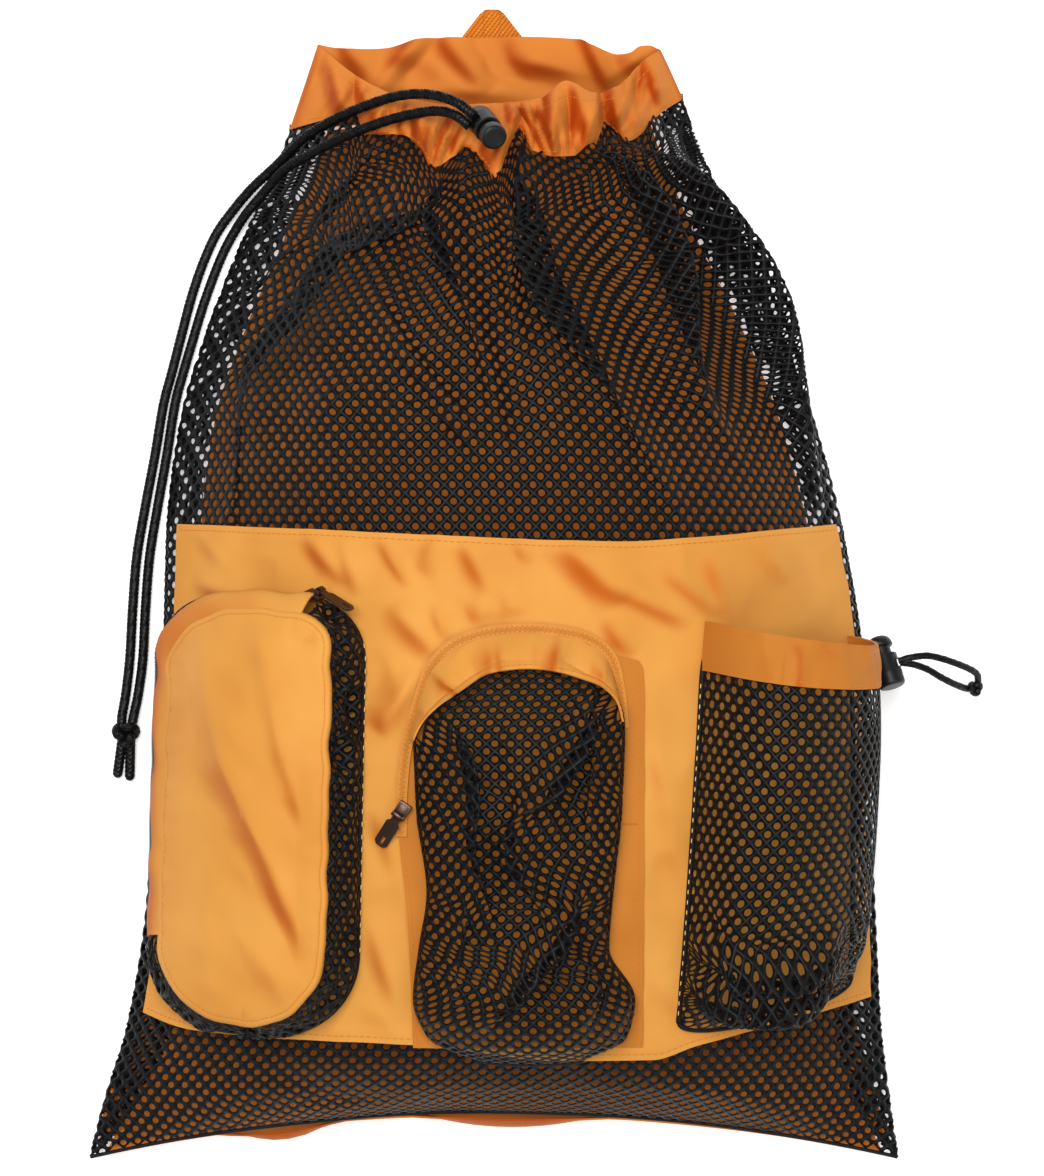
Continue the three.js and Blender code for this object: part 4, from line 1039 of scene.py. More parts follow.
def outwards_of(outline):
    along = unit(np.roll(outline, -1, axis=0) - np.roll(outline, 1, axis=0))
    return stacked(along[:, 1], -along[:, 0])


box_foot = rounded_outline(BOX_FOOT)
box_rim = rounded_outline(BOX_FACE)
rim_ripple = ripple(box_rim[:, 0], box_rim[:, 1], wavelength=28, seed=61)
box_rim = box_rim + outwards_of(box_rim) * 1.4 * rim_ripple[:, None]
box_out = outwards_of(box_rim)
box_middle = np.array([(BOX_FACE["left"] + BOX_FACE["right"] - BOX_FACE["lean"]) / 2, -115.5])
box_count = len(box_rim)
TOP_RIGHT_END = round(0.75 * (CORNER_STEPS - 1))
BOTTOM_LEFT_END = 2 * CORNER_STEPS + SHORT_STEPS + LONG_STEPS


def face_height(xy):
    """The height of the pocket's face over a place in plan, with its low crown."""
    x, y = xy[..., 0], xy[..., 1]
    box = BOX_FACE
    leaned = x - box["lean"] * (y - box["top"]) / (box["top"] - box["bottom"])
    across = (2 * leaned - box["left"] - box["right"]) / (box["right"] - box["left"])
    along = (2 * y - box["top"] - box["bottom"]) / (box["top"] - box["bottom"])
    crown = np.clip(1 - np.abs(across) ** 2.4, 0, 1) * np.clip(1 - np.abs(along) ** 6, 0, 1)
    return front_height(x, y) + ON_BAND + BOX_DEPTH + BOX_CROWN * crown


def gusset(indices, shares, outwards=0.0, overhang=False):
    """Points of the gusset between foot and face, which may bulge out more near the face."""
    k = np.asarray(indices) % box_count
    share = np.asarray(shares, float)[:, None]
    foot = on_front(box_foot[k, 0], box_foot[k, 1], ON_BAND + 0.9)[None]
    rim_z = face_height(box_rim[k]) - 1.4
    rim = stacked(*box_rim[k].T, rim_z)[None]
    points = foot + (rim - foot) * share[..., None]
    bulge = GUSSET_BULGE * 4 * share * (1 - share) + outwards
    if overhang:
        towards_top = np.maximum(box_out[k][:, 1], 0)
        bulge = (4 + 4 * towards_top) * 6.75 * share**2 * (1 - share) + outwards
    points[..., :2] += box_out[k][None] * bulge[..., None]
    return points


print("box pocket outline of", box_count, "points")

# %% Folds of the face
FACE_FOLDS = [
    [(4, -156, 18, 0), (-31, -147, 20, 6), (-60, -142, 20, 8), (-90, -134, 18, 8.5), (-116, -121, 16, 8),
     (-140, -109, 13, 7), (-162, -100, 11, 6), (-180, -90, 10, 4.5), (-204, -80, 9, 0)],
    [(-4, -121, 12, 0), (-24, -116, 11, 3.6), (-60, -109, 8, 2.4), (-80, -105, 9, 3.6), (-108, -95, 9, 3.6),
     (-125, -85, 8, 3), (-150, -76, 8, 0)],
    [(-36, -166, 9, 0), (-60, -163, 9, 2.6), (-95, -160, 8, 2.2), (-130, -162, 8, 0)],
    [(-170, -128, 12, 0), (-192, -112, 12, 3), (-208, -100, 12, 3), (-222, -86, 10, 0)],
]
FACE_CREASES = [(-104, -214, -140, -232, 9, 2.2), (-150, -170, -138, -214, 10, 1.6)]


def face_folds(x, y):
    """Height of the face's long folds, steep on the left of their crests."""
    total = np.zeros(len(x))
    for rows in FACE_FOLDS:
        down, crest, reach, rise = np.array(rows, float)[::-1].T
        away = (x - np.interp(y, down, crest)) / np.interp(y, down, reach)
        away = np.where(away < 0, away, away / (1.6 * GENTLE_SIDE))
        total += np.interp(y, down, rise, 0, 0) * crisp_ridge(away)
    return total


print(len(FACE_FOLDS), "long folds cross the face")

# %% Box pocket face
FACE_EDGE = np.array([
    (-1.6, -3.4), (-1.2, -1.7), (-0.5, -0.5), (0.2, -0.1), (0.8, 0.05), (1.4, -0.3), (2, 0.05), (3.3, 0.4),
    (7, 0.5), (11, 0.5),
])
FACE_INSETS = np.array([
    -1.6, -1.4, -1.2, -0.8, -0.5, -0.1, 0.2, 0.5, 0.8, 1.1, 1.4, 1.7, 2, 2.6, 3.3, 4.4, 6, 8, 11,
])
STITCH_RING = 10
INNER_RINGS = 45
INNER_REACH = 34


def face_rings():
    """Rings of the pocket's face, from just over its rim to its middle, with and without its folds."""
    around = lengths_along(box_rim[:, None], 0)[:, 0]
    rings = [(box_rim - box_out * inset, inset) for inset in FACE_INSETS]
    last, last_inset = rings[-1]
    for share in np.linspace(1, 0.03, INNER_RINGS + 1)[1:]:
        rings.append((box_middle + (last - box_middle) * share, last_inset + INNER_REACH * (1 - share)))
    made, plain = [], []
    for xy, inset in rings:
        x, y = xy.T
        left_side = np.clip((box_middle[0] - x) / 40, 0, 1) * smoothstep(y, -200, -150)
        pucker = np.sin(around * 2 * np.pi / 11.5) + 0.8 * np.sin(around * 2 * np.pi / 7.3 + 2)
        near_edge = smoothstep(inset, -1, 3) * (1 - smoothstep(inset, 5, 12))
        slack = smoothstep(inset, 1, 15)
        height = face_height(xy) + column(FACE_EDGE, 1, inset)
        loose = face_folds(x, y) + creases(x, y, FACE_CREASES, crisp=True)
        loose = loose + 0.6 * ripple(x, y, wavelength=30, seed=5)
        loose = loose + 0.4 * ridged(x + 0.5 * y, y, wavelength=36, seed=6)
        plain.append(stacked(x, y, height))
        height = height + slack * loose
        height = height + near_edge * (0.3 + 0.9 * left_side) * pucker
        made.append(stacked(x, y, height))
    return np.array(made), np.array(plain)


def disc_mesh(rings, thickness):
    """Points, faces and flat coordinates of a thin disc, from rings that start at its rim."""
    count, around = rings.shape[:2]
    points, faces, _ = cloth_mesh(rings, thickness, closed=True)
    outer = (count - 1) * around + np.arange(around)
    inner = outer + count * around
    faces = faces[~np.isin(faces, np.concatenate([outer, inner])).all(axis=1)]
    middles = [np.full(around, len(points)), np.full(around, len(points) + 1)]
    points = np.concatenate([points, points[outer].mean(0)[None], points[inner].mean(0)[None]])
    top = stacked(outer, np.roll(outer, -1), middles[0], middles[0])
    bottom = stacked(np.roll(inner, -1), inner, middles[1], middles[1])
    return points, np.concatenate([faces, top, bottom]), points[:, :2]


box_face, plain_face = face_rings()
face_points, face_faces, face_uv = disc_mesh(box_face, NYLON)
# The face's painted shade, from how far its folds turn from the plain face.
face_shade = fold_shade(box_face, True, plain_face)
face_painted_shade = np.concatenate([np.tile(face_shade.ravel(), 2), np.full(2, face_shade[-1].mean())])
face_piece = new_piece(
    "box_face", face_points, face_faces, "nylon", ["box_pocket_face"], uv=face_uv, painted_shade=face_painted_shade
)
face_reach = np.linalg.norm(np.diff(box_face, axis=0), axis=-1).sum(0)
face_length = face_reach[box_rim[:, 1].argmin()] + face_reach[box_rim[:, 1].argmax()]
ring_line, ring_up = row_on_grid(box_face, NYLON, STITCH_RING, 0, True)
ring_line, ring_up = (np.concatenate([a, a[:1]]) for a in (ring_line, ring_up))
stitch(ring_line, ring_up, pitch=3.0, length=2.3)

# %% Box pocket gusset
fabric_run = np.arange(TOP_RIGHT_END, BOTTOM_LEFT_END + 1)
gusset_shares = np.linspace(0, 1, 22)
fabric_gusset = gusset(fabric_run, gusset_shares, overhang=True)
gusset_ripple = ripple(fabric_run[None] * 2.4, gusset_shares[:, None] * 24, wavelength=22, seed=21)
gusset_ripple = 1.3 * gusset_ripple * np.sin(np.pi * gusset_shares)[:, None]
fabric_gusset[..., :2] += box_out[fabric_run % box_count][None] * gusset_ripple[..., None]
cloth("box_gusset", fabric_gusset, NYLON, "nylon", ["box_pocket_fabric_side"])

net_run = np.arange(BOTTOM_LEFT_END, TOP_RIGHT_END + box_count + 1)
net_shares = np.linspace(0, 1, 40)
net_gusset = gusset(net_run, net_shares)
slack_side = ridged(net_run[None] * 3.0, net_shares[:, None] * 30, wavelength=26, seed=23)
slack_side = 3.2 * slack_side * np.sin(np.pi * net_shares)[:, None]
net_gusset[..., :2] += box_out[net_run % box_count][None] * slack_side[..., None]
net_gusset[..., 2] += 0.6 * slack_side
net(
    "box_gusset_netting", Unrolled(net_gusset), lambda v, point: v > 1, ["box_pocket_mesh_side"],
    margin=0.5, hole_radius=1.45,
)
for name, share in (("box_gusset_foot_edge", 0.0), ("box_gusset_rim_edge", 1.0)):
    rolled_edge(name, gusset(net_run, [share])[0], radius=1.1)

# %% [markdown]
# ## Zips
# A coil zip is two rows of nylon loops that lock into each other on a woven tape. A striped bump would do
# from far off. Here the tape is a narrow strip of cloth and each loop a small rod across it, all in one
# mesh, so that the coil also shows where it turns away.

# %% Zips
TAPE_THICKNESS = 0.7
COIL_RISE = 0.55
LOOP_SHIFT = 0.35
LOOP_THREAD = (0.95, 1.0)


def zip_coil(name, line, normals, finish, nodes, tape, coil=3.2, pitch=1.25):
    """A tape along a line with the loops of its coil on top."""
    tangent = unit(np.gradient(line, axis=0))
    side = unit(np.cross(normals, tangent))
    grid = np.stack([line + side * w for w in np.linspace(-tape / 2, tape / 2, 5)], axis=1)
    points, faces, uv = cloth_mesh(grid, TAPE_THICKNESS)
    along = lengths_along(line[:, None], 0)[:, 0]
    at = np.arange(pitch, along[-1] - pitch, pitch)
    centre, way, up = (along_line(values, along, at) for values in (line, side, normals))
    shift = np.where(np.arange(len(at)) % 2 == 0, LOOP_SHIFT, -LOOP_SHIFT)[:, None]
    centre = centre + unit(up) * COIL_RISE + unit(way) * shift
    more, more_faces = rods(centre, unit(way), unit(up), coil, *LOOP_THREAD)
    faces = np.concatenate([faces, more_faces + len(points)])
    points = np.concatenate([points, more])
    flat = np.concatenate([uv, more[:, :2]])
    new_piece(name, points, faces, finish, nodes, uv=flat)
    print(name, len(at), "loops")


box_zip_line = gusset(fabric_run, [0.3], 1.2, overhang=True)[0]
box_zip_up = np.pad(box_out[fabric_run % box_count], ((0, 0), (0, 1)))
zip_coil("box_zip", box_zip_line, box_zip_up, "zip_black", ["box_pocket_zip"], tape=6)

# %% [markdown]
# ## The pouch
# The pouch in the middle is slack netting that hangs from a gathered nylon yoke under an arched zip. Its
# panel is a second layer of nylon on the band. The netting could be draped by a simulation, but its folds
# then fall elsewhere, so it has its own tables of folds, and its yoke is pleated towards the zip.

# %% Pouch panel
panel_t = np.linspace(-231, -19, 74)[:, None]
panel_left, panel_right = (column(POUCH_PANEL, k, panel_t) for k in (1, 2))
panel_x = panel_left + (panel_right - panel_left) * np.linspace(0, 1, 48)[None]
panel_y = panel_t + 0 * panel_x
PANEL_CREASES = [(64, -60, 72, -130, 3, -0.8), (66, -140, 74, -200, 3, 0.8), (-44, -150, -36, -200, 3, 0.7)]
panel_relief = 0.35 * ripple(panel_x, panel_y, wavelength=26, seed=8)
panel_relief = panel_relief + creases(panel_x, panel_y, PANEL_CREASES)
panel = on_front(panel_x, panel_y, PANEL_LIFT + np.maximum(panel_relief, -0.3))
# The panel's darker orange is painted shade, from a darker copy of the nylon.
cloth("panel", panel, NYLON, "nylon_in_painted_shade", ["pouch_panel"])
right_line, right_up = row_on_grid(panel, NYLON, 46, 1)
left_line, left_up = row_on_grid(panel, NYLON, 0.8, 1)
stitch(right_line[:66], right_up[:66], pitch=3.0)
stitch(left_line[:36], left_up[:36], pitch=3.0)
stitch(*row_on_grid(panel, NYLON, 1.5, 0))
cross_x = np.linspace(63.5, 75, 12)
cross_seam = on_front(cross_x, -118.0, PANEL_LIFT + 0.9)
stitch(cross_seam, (0, 0, 1), pitch=2.8, length=2.2)

# %% Shape of the pouch
POUCH = np.array([
    (-236, -6, 46, 6), (-224, -31, 67, 20), (-206, -38, 71, 27), (-180, -35, 58, 25), (-152, -31, 60, 24),
    (-110, -36, 64, 28), (-76, -37, 65, 24), (-67, -33, 64.5, 21), (-57, -25, 62, 18), (-48, -13, 55, 15),
    (-42, -5, 44, 12), (-36, 6, 34, 9),
])
POUCH_RIM_RISE = 7
POUCH_CREASES = [
    (0, -56, 4, -112, 8, -4), (36, -72, 40, -130, 8, -5), (4, -120, 0, -160, 7, -5),
    (26, -172, 18, -216, 8, -5), (-26, -150, -24, -210, 6, -4), (44, -150, 48, -200, 6, -4),
]
POUCH_FOLDS = [
    [(44, -48, 0, 6, 0), (41, -62, 9, 6, 0.6), (30, -80, 10, 7, 0.7), (19, -102, 8, 7, 0.6),
     (16, -118, 0, 6, 0)],
    [(-20, -58, 0, 5, 0), (-22, -74, 8, 6, 0.6), (-18, -98, 10, 7, 0.7), (-17, -128, 9, 7, 0.6),
     (-5, -158, 6, 6, 0.4), (4, -172, 0, 6, 0)],
    [(15, -92, 0, 6, 0), (18, -112, 8, 7, -0.6), (21, -136, 9, 7, -0.6), (28, -154, 5, 6, -0.3),
     (32, -166, 0, 6, 0)],
    [(46, -142, 0, 6, 0), (34, -156, 9, 7, 0.6), (16, -178, 10, 7, 0.7), (0, -200, 8, 7, 0.6),
     (-6, -218, 0, 6, 0)],
    [(-8, -150, 0, 5, 0), (-18, -166, 7, 6, 0.5), (-21, -190, 6, 6, 0.4), (-16, -212, 0, 5, 0)],
    [(40, -176, 0, 6, 0), (46, -192, 7, 6, 0.5), (42, -218, 0, 6, 0)],
    [(48, -66, 0, 5, 0), (53, -86, 5, 6, -0.5), (50, -112, 5, 6, -0.4), (46, -136, 0, 5, 0)],
]


def rim_rise(y):
    """How far the pouch's rim is lifted towards its yoke."""
    return POUCH_RIM_RISE * smoothstep(y, -100, -42)


def pouch_rim_lift(y):
    return ON_PANEL + 0.9 + rim_rise(y)


def pouch_lift(x, y):
    """How far the pouch stands off the band over a place in plan, and how near that is to its middle."""
    left, right, rise = (column(POUCH, k, y) for k in (1, 2, 3))
    across = np.clip((2 * x - left - right) / (right - left), -1, 1)
    up = (1 - across**2) ** 0.4
    top = (rise - rim_rise(y)) * up
    slack = creases(x, y, POUCH_CREASES) * smoothstep(up, 0, 0.6)
    return pouch_rim_lift(y) + np.maximum(top + slack, 0.5 * up), up


def pouch_rows(y, columns):
    """Rows of points over the pouch."""
    left, right = (column(POUCH, k, y)[:, None] for k in (1, 2))
    x = (left + right) / 2 - (right - left) / 2 * np.cos(np.linspace(0, np.pi, columns))[None]
    y = y[:, None] + 0 * x
    lift, up = pouch_lift(x, y)
    folds = sum(fold_of(x, y, fold) for fold in POUCH_FOLDS)
    return on_front(x, y, lift) + folds * smoothstep(up, 0, 0.7)[..., None]


print("the pouch stands", np.round(pouch_lift(16.0, -110.0)[0], 1), "mm off the band")

# %% Pouch netting
YOKE_INNER = [
    (-37, -76), (-33, -67), (-26, -58.5), (-18, -52), (-11, -46.5), (-4, -42), (6, -39.5), (20, -38.6),
    (32, -40), (43, -43), (53, -47.5), (60, -55), (63, -66),
]
inner_line = smooth_line(YOKE_INNER, 14)
pouch_y = np.linspace(-236, -36, 136)
pouch_edge = pouch_rows(pouch_y, 181)
pouch = Unrolled(pouch_edge, 0.8)


def below_yoke(v, point):
    return point[..., 1] < np.interp(point[..., 0], inner_line[:, 0], inner_line[:, 1]) + 1.0


net("pouch_netting", pouch, below_yoke, ["pouch_mesh"], margin=0.4)
pouch_left, pouch_right = pouch_edge[-9::-1, 0], pouch_edge[:-8, -1]
pouch_low = pouch_edge[0, 1:-1]
rolled_edge("pouch_edge", np.concatenate([pouch_left, pouch_low, pouch_right]), radius=0.8)

# %% Pouch yoke and zip
YOKE_OUTER = [
    (-40, -75), (-37.5, -66), (-34, -55), (-30, -44), (-22, -34.5), (-10, -27.5), (4, -24), (20, -23),
    (34, -24.4), (46, -27.6), (56, -34.5), (61.5, -48), (64, -66),
]
ZIP_ROUTE = [
    (-44, -124), (-43.5, -100), (-41, -78), (-36.5, -60), (-29.5, -40), (-18.5, -28.5), (-4, -22.8),
    (14.6, -20.6), (34.5, -21.8), (50, -26), (59, -34), (63.5, -50), (65.5, -70),
]
YOKE_FOLDS = [
    (0.13, 0.03, 1.6), (0.27, 0.025, 2.6), (0.36, 0.03, -1.4), (0.5, 0.035, 2.4), (0.6, 0.02, -1.8),
    (0.67, 0.03, 3.0), (0.76, 0.025, -2.0), (0.84, 0.03, 2.2), (0.93, 0.02, -1.0),
]
outer_line = smooth_line(YOKE_OUTER, 14)
yoke_f = np.linspace(0, 1, len(inner_line))[None]
yoke_share = np.linspace(-0.1, 1, 26)[:, None]
yoke_xy = inner_line[None] + (outer_line - inner_line)[None] * yoke_share[..., None]
yoke_x, yoke_y = yoke_xy[..., 0], yoke_xy[..., 1]
yoke_foot = ON_PANEL + 0.7
yoke_rim = np.maximum(pouch_lift(yoke_x, yoke_y)[0], pouch_rim_lift(yoke_y)) + 2.2
yoke_lift = yoke_foot + (yoke_rim - yoke_foot) * (1 - np.clip(yoke_share, 0, 1) ** 1.4)
yoke_folds = sum(1.6 * rise * np.exp(-np.abs(yoke_f - at) / width) for at, width, rise in YOKE_FOLDS)
yoke_folds = np.maximum(yoke_folds, -0.6) * (1 - 0.75 * smoothstep(yoke_share, 0.3, 1))
yoke_folds = yoke_folds + 0.5 * ridged(yoke_x, 0.5 * yoke_y, wavelength=16, seed=41)
yoke = on_front(yoke_x, yoke_y, yoke_lift + yoke_folds * np.sin(np.pi * yoke_f) ** 0.5)
plain_yoke = on_front(yoke_x, yoke_y, yoke_lift)
cloth("yoke", yoke, NYLON, "nylon", ["pouch_yoke"], plain=plain_yoke)
stitch(*row_on_grid(yoke, NYLON, 2.6, 0), pitch=3.0)

zip_line = spaced(smooth_line(ZIP_ROUTE), 1.3)
zip_x, zip_y = zip_line[:, 0], zip_line[:, 1]
pouch_zip_line = on_front(zip_x, zip_y, ON_PANEL + 0.5)
pouch_zip_up = unit(on_front(zip_x, zip_y, ON_PANEL + 1.5) - pouch_zip_line)
zip_coil("pouch_zip_tape", pouch_zip_line, pouch_zip_up, "zip_orange", ["pouch_zip"], tape=5.6, coil=2.5)

# %% [markdown]
# ## The bottle pocket
# The pocket on the right is an arch of netting that ends in a nylon hem, which an elastic cord runs in. Half
# a cylinder would look stiff. So the arch has a row of sizes for each height, a squarish section, and folds
# at its lower edge, where the sagging netting is doubled and looks darker.

# %% Shape of the bottle pocket
BOTTLE = np.array([
    (-219, -202, 94, 183, 0), (-208, -192, 94.5, 183, 23), (-184, -172, 96.5, 184, 43),
    (-130, -126, 100, 184, 54), (-80, -80, 103, 184, 57), (-43, -47, 105, 183, 56),
    (-36, -41, 106, 182, 51),
])
BOTTLE_HEM = np.array([(-41.6, -45.6, 105, 183, 57), (-29, -36, 106, 183, 56), (-17, -25, 107, 182, 54)])
BOXINESS = 0.8
HEM_DIP = 7
LOW_SAG = 9
ARCH = 150
BOTTLE_CREASES = [
    (8, -60, 33, -150, 7, 4), (24, -50, 45, -120, 7, -3), (15, -120, 45, -205, 9, 5),
    (93, -150, 135, -205, 9, 4), (30, -196, 120, -206, 5, 6), (40, -182, 130, -190, 5, -4),
]
BOTTLE_FOLDS = [
    [(96, -194, 0, 8, 0), (108, -198, 10, 9, -0.7), (135, -203, 11, 9, -0.75), (160, -198, 10, 9, -0.7),
     (178, -188, 0, 8, 0)],
    [(97, -172, 0, 8, 0), (112, -182, 10, 9, -0.75), (138, -187, 11, 9, -0.75), (162, -181, 10, 9, -0.7),
     (179, -168, 0, 8, 0)],
    [(96, -140, 0, 7, 0), (103, -160, 7, 8, 0.6), (114, -184, 7, 8, 0.6), (124, -204, 0, 7, 0)],
]


def boxy(v):
    return np.sign(v) * np.abs(v) ** BOXINESS


def bottle_points(table, where, shares, dip, relief=0.0):
    """Points on the pocket's arch: where runs along the table's rows and shares across the arch."""
    left_y, right_y, left, right, bulge = (
        curve_through(np.arange(len(table)), table[:, k], where)[:, None] for k in range(5)
    )
    angle = np.pi * shares[None]
    across = (1 - boxy(np.cos(angle))) / 2
    chord = on_front(right, right_y) - on_front(left, left_y)
    out = unit(stacked(-chord[..., 2], 0 * chord[..., 0], chord[..., 0]))
    out[..., 2] += 0.4
    out = unit(out)
    x = left + (right - left) * across
    y = left_y + (right_y - left_y) * across
    height = bulge * boxy(np.sin(angle)) + relief
    points = on_front(x, y, ON_BAND + 0.8) + out * height[..., None]
    points[..., 1] -= np.asarray(dip) * np.sin(angle)
    return points


print("the bottle pocket stands", BOTTLE[:, 4].max(), "mm off the band")

# %% Bottle netting
bottle_where = np.linspace(0, 6, 140)
bottle_shares = np.linspace(0, 1, 161)
bottle_dip = np.interp(bottle_where, [0, 2, 5], [LOW_SAG, 0, HEM_DIP])[:, None]
bottle_y = curve_through(np.arange(7), BOTTLE[:, 0], bottle_where)[:, None]
bottle_round = ARCH * bottle_shares[None]
crumple = 3.4 * ridged(bottle_round, 1.6 * bottle_y, wavelength=24, seed=71)
crumple = crumple * (1 - smoothstep(bottle_y, -205, -165))
bottle_slack = creases(bottle_round, bottle_y, BOTTLE_CREASES) + crumple
bottle_slack = bottle_slack * np.sin(np.pi * bottle_shares)[None] ** 0.6
bottle_slack = bottle_slack * smoothstep(bottle_where, 0, 0.6)[:, None]
bottle_net = bottle_points(BOTTLE, bottle_where, bottle_shares, bottle_dip, bottle_slack)
bottle_folds = sum(fold_of(bottle_net[..., 0], bottle_net[..., 1], fold) for fold in BOTTLE_FOLDS)
bottle_folds = bottle_folds * np.sin(np.pi * bottle_shares)[None, :, None] ** 0.5
bottle = Unrolled(bottle_net + bottle_folds * smoothstep(bottle_where, 0, 0.8)[:, None, None], 0.8)
net("bottle_netting", bottle, lambda v, point: v > 0, ["bottle_pocket_mesh"], margin=0.4)
bottle_edges = bottle_points(BOTTLE, bottle_where, np.array([0.0, 1.0]), bottle_dip)
bottle_foot = bottle_points(BOTTLE, np.array([0.0]), bottle_shares, LOW_SAG)[0]
rolled_edge("bottle_left_edge", bottle_edges[:, 0], radius=1.5)
rolled_edge("bottle_right_edge", bottle_edges[:, 1], radius=1.4)
rolled_edge("bottle_low_edge", bottle_foot, radius=1.1)

# %% Bottle hem
HEM = 1.8
HEM_ROUND = 170
hem_where = np.linspace(0, 2, 26)
hem_shares = np.linspace(0, 1, 170)
hem_round = hem_shares[None] * HEM_ROUND
hem_relief = 0.9 * ripple(hem_round, hem_where[:, None] * 12, wavelength=24, seed=31)
hem_relief = hem_relief + 0.8 * ridged(hem_round, hem_where[:, None] * 5, wavelength=18, seed=33)
hem_relief = np.maximum(hem_relief, -0.4) * np.sin(np.pi * hem_shares)[None]
hem = bottle_points(BOTTLE_HEM, hem_where, hem_shares, HEM_DIP, hem_relief)
plain_hem = bottle_points(BOTTLE_HEM, hem_where, hem_shares, HEM_DIP)
# The hem's darker orange is painted shade, from a darker copy of the nylon.
cloth("hem", hem, HEM, "nylon_in_painted_shade", ["bottle_pocket_hem"], plain=plain_hem)
for row in (2.5, 21.5):
    stitch(*row_on_grid(hem, HEM, row, 0))

# %% Gold stitches beside the pockets
gold_line = bottle_edges[:118, 0] + np.array([-0.6, 0, 1.9])
stitch(gold_line, (-0.4, 0, 1), "thread_gold", pitch=5.2, length=2.4)
gold_run = np.arange(box_count - LONG_STEPS - 2, box_count + 6)
gold_foot = gusset(gold_run, [0.06])[0] + np.array([1.4, 0, 0.6])
stitch(gold_foot, (0.7, 0, 0.7), "thread_gold", pitch=6.4, length=2.6)
print("gold stitches in", len(STITCHES["thread_gold"]), "rows")

# %% [markdown]
# ## The collar
# The collar is a ring of nylon. Its back stands taller and lies open, so its inner side shows. Its front is
# drawn together on the cord, which throws it into deep pleats and many small gathers. Both are one closed
# grid, so that the pleats run on round the ends of the mouth, and each deep fold is placed one by one.

# %% Shape of the collar
COLLAR_LEFT = -90
COLLAR_RIGHT = 87
COLLAR_BACK_Z = 11.5
COLLAR_END_Z = 15
COLLAR_GAP = 1.8
COLLAR_EDGE = np.array([
    (-90, 282), (-80, 280.4), (-68, 279.6), (-54, 280.6), (-33, 285.5), (14.6, 286.2), (46, 285),
    (50.7, 282), (58.4, 278.7), (66, 276.6), (71.3, 277.2), (77, 281), (82, 281.4), (87, 279),
])
COLLAR_TOP = np.array([
    (-1, -90, 282, 15), (-0.8, -74, 267, 27), (-0.5, -47, 252, 41), (-0.2, -19, 247, 48), (0.1, 9, 248, 49),
    (0.3, 27, 251, 48), (0.42, 38, 259, 46), (0.58, 52, 253, 44), (0.72, 64, 257, 38), (0.88, 77, 271, 26),
    (1, 87, 279, 15),
])
FACET = {"left": 26, "right": 56, "low": 0.2, "rise": 6}
FRONT_CREASES = [
    (62, 286, 64, 232, 5, 9), (77, 290, 88, 246, 5, 7), (70, 284, 76, 240, 4, -6), (44, 266, 50, 222, 4, 6),
    (37, 264, 41, 220, 3, -5), (30, 258, 32, 212, 3.5, 4), (24, 258, 21, 216, 2.5, -5),
    (-84, 280, -76, 236, 5, 6), (-72, 276, -70, 234, 4, -6), (-58, 264, -60, 228, 4, 5),
    (-48, 258, -47, 222, 3, -4), (-38, 256, -32, 208, 4, 5), (-24, 254, -21, 214, 3, -4),
    (-14, 252, -10, 216, 3, -3), (10, 252, 6, 208, 3, 4), (15, 254, 14, 226, 2.5, -4),
    (56, 262, 58, 228, 2.5, -5),
]
PLEATS = np.array([
    (-70, 0), (-60, 1.6), (-52, -1.2), (-47, 1.6), (-41, -1.8), (-36, 2.2), (-31, -1.6), (-26, 2.6),
    (-22, -1.8), (-17, 2.2), (-13, -1.8), (-8, 2.0), (-2, -1.4), (3, 2.6), (7, -2.2), (12, 2.4), (16, -2.6),
    (19.5, 2.2), (23, -2.0), (27, 2.4), (31, -1.8), (35, 1.6), (39, -1.6), (43, 2.2), (48, -2.2), (52, 2.4),
    (58, -1.8), (64, 2.6), (69, -2.2), (75, 2.2), (82, -1.4), (90, 0),
])
BACK_CREASES = [
    (-30, 294, -64, 254, 5, 9), (-22, 292, -56, 254, 4, -4), (-28, 290, -2, 258, 5, 7),
    (-14, 290, 8, 262, 6, -4), (6, 276, 52, 266, 6, 8), (-6, 272, 44, 256, 5, -3), (46, 294, 62, 258, 4, 9),
    (54, 290, 68, 262, 3.5, -4), (56, 262, 92, 284, 6, 12), (64, 258, 92, 270, 4, -5),
    (68, 250, 88, 262, 4, 8), (-92, 284, -70, 256, 4, -4), (-84, 290, -60, 262, 5, 7),
    (-76, 262, -46, 256, 4, 5), (-44, 262, 20, 254, 6, 5),
]
print(len(FRONT_CREASES) + len(BACK_CREASES), "creases round the collar")

# %% Front of the collar
collar_share = np.linspace(0, 1, 38)[:, None]
front_s = np.linspace(-1, 1, 260)[None]
front_seam = front_of_row(front_s, np.array([[SACK_HIGH]]))
up_front = 1 - front_s**2
front_top = np.stack([column(COLLAR_TOP, k, front_s) for k in (1, 2, 3)], axis=-1)
front_part = front_seam + (front_top - front_seam) * collar_share[..., None]
puff = 4 * collar_share * (1 - collar_share)
small = np.sin(2 * np.pi * 9 * front_s + 0.8) + 0.8 * np.sin(2 * np.pi * 14.3 * front_s + 2)
front_part[..., 2] += puff * up_front**0.5 * (7 + 1.0 * small)
front_x, front_y = front_part[..., 0], front_part[..., 1]
front_folds = 1.2 * creases(front_x, front_y, FRONT_CREASES, wider=1.7, crisp=True)
front_part[..., 2] += front_folds * (0.35 + 0.65 * puff)
lean = front_x + 0.5 * (front_y - SACK_HIGH) * np.sin(front_x / 13)
gathers = 1.3 * np.interp(lean, PLEATS[:, 0], PLEATS[:, 1])
gathers = gathers + 1.2 * ridged(front_x, front_y, wavelength=13, seed=53)
facet = smoothstep(front_x, FACET["left"], FACET["left"] + 3)
facet = facet * (1 - smoothstep(front_x, FACET["right"] - 3, FACET["right"]))
facet = facet * smoothstep(collar_share, FACET["low"], FACET["low"] + 0.5)
gathers = gathers * (0.25 + 0.75 * puff) * (1 - 0.85 * facet) * up_front**0.3
front_part[..., 2] += gathers + FACET["rise"] * facet
front_part[..., 1] += COLLAR_GAP * (1 - collar_share)
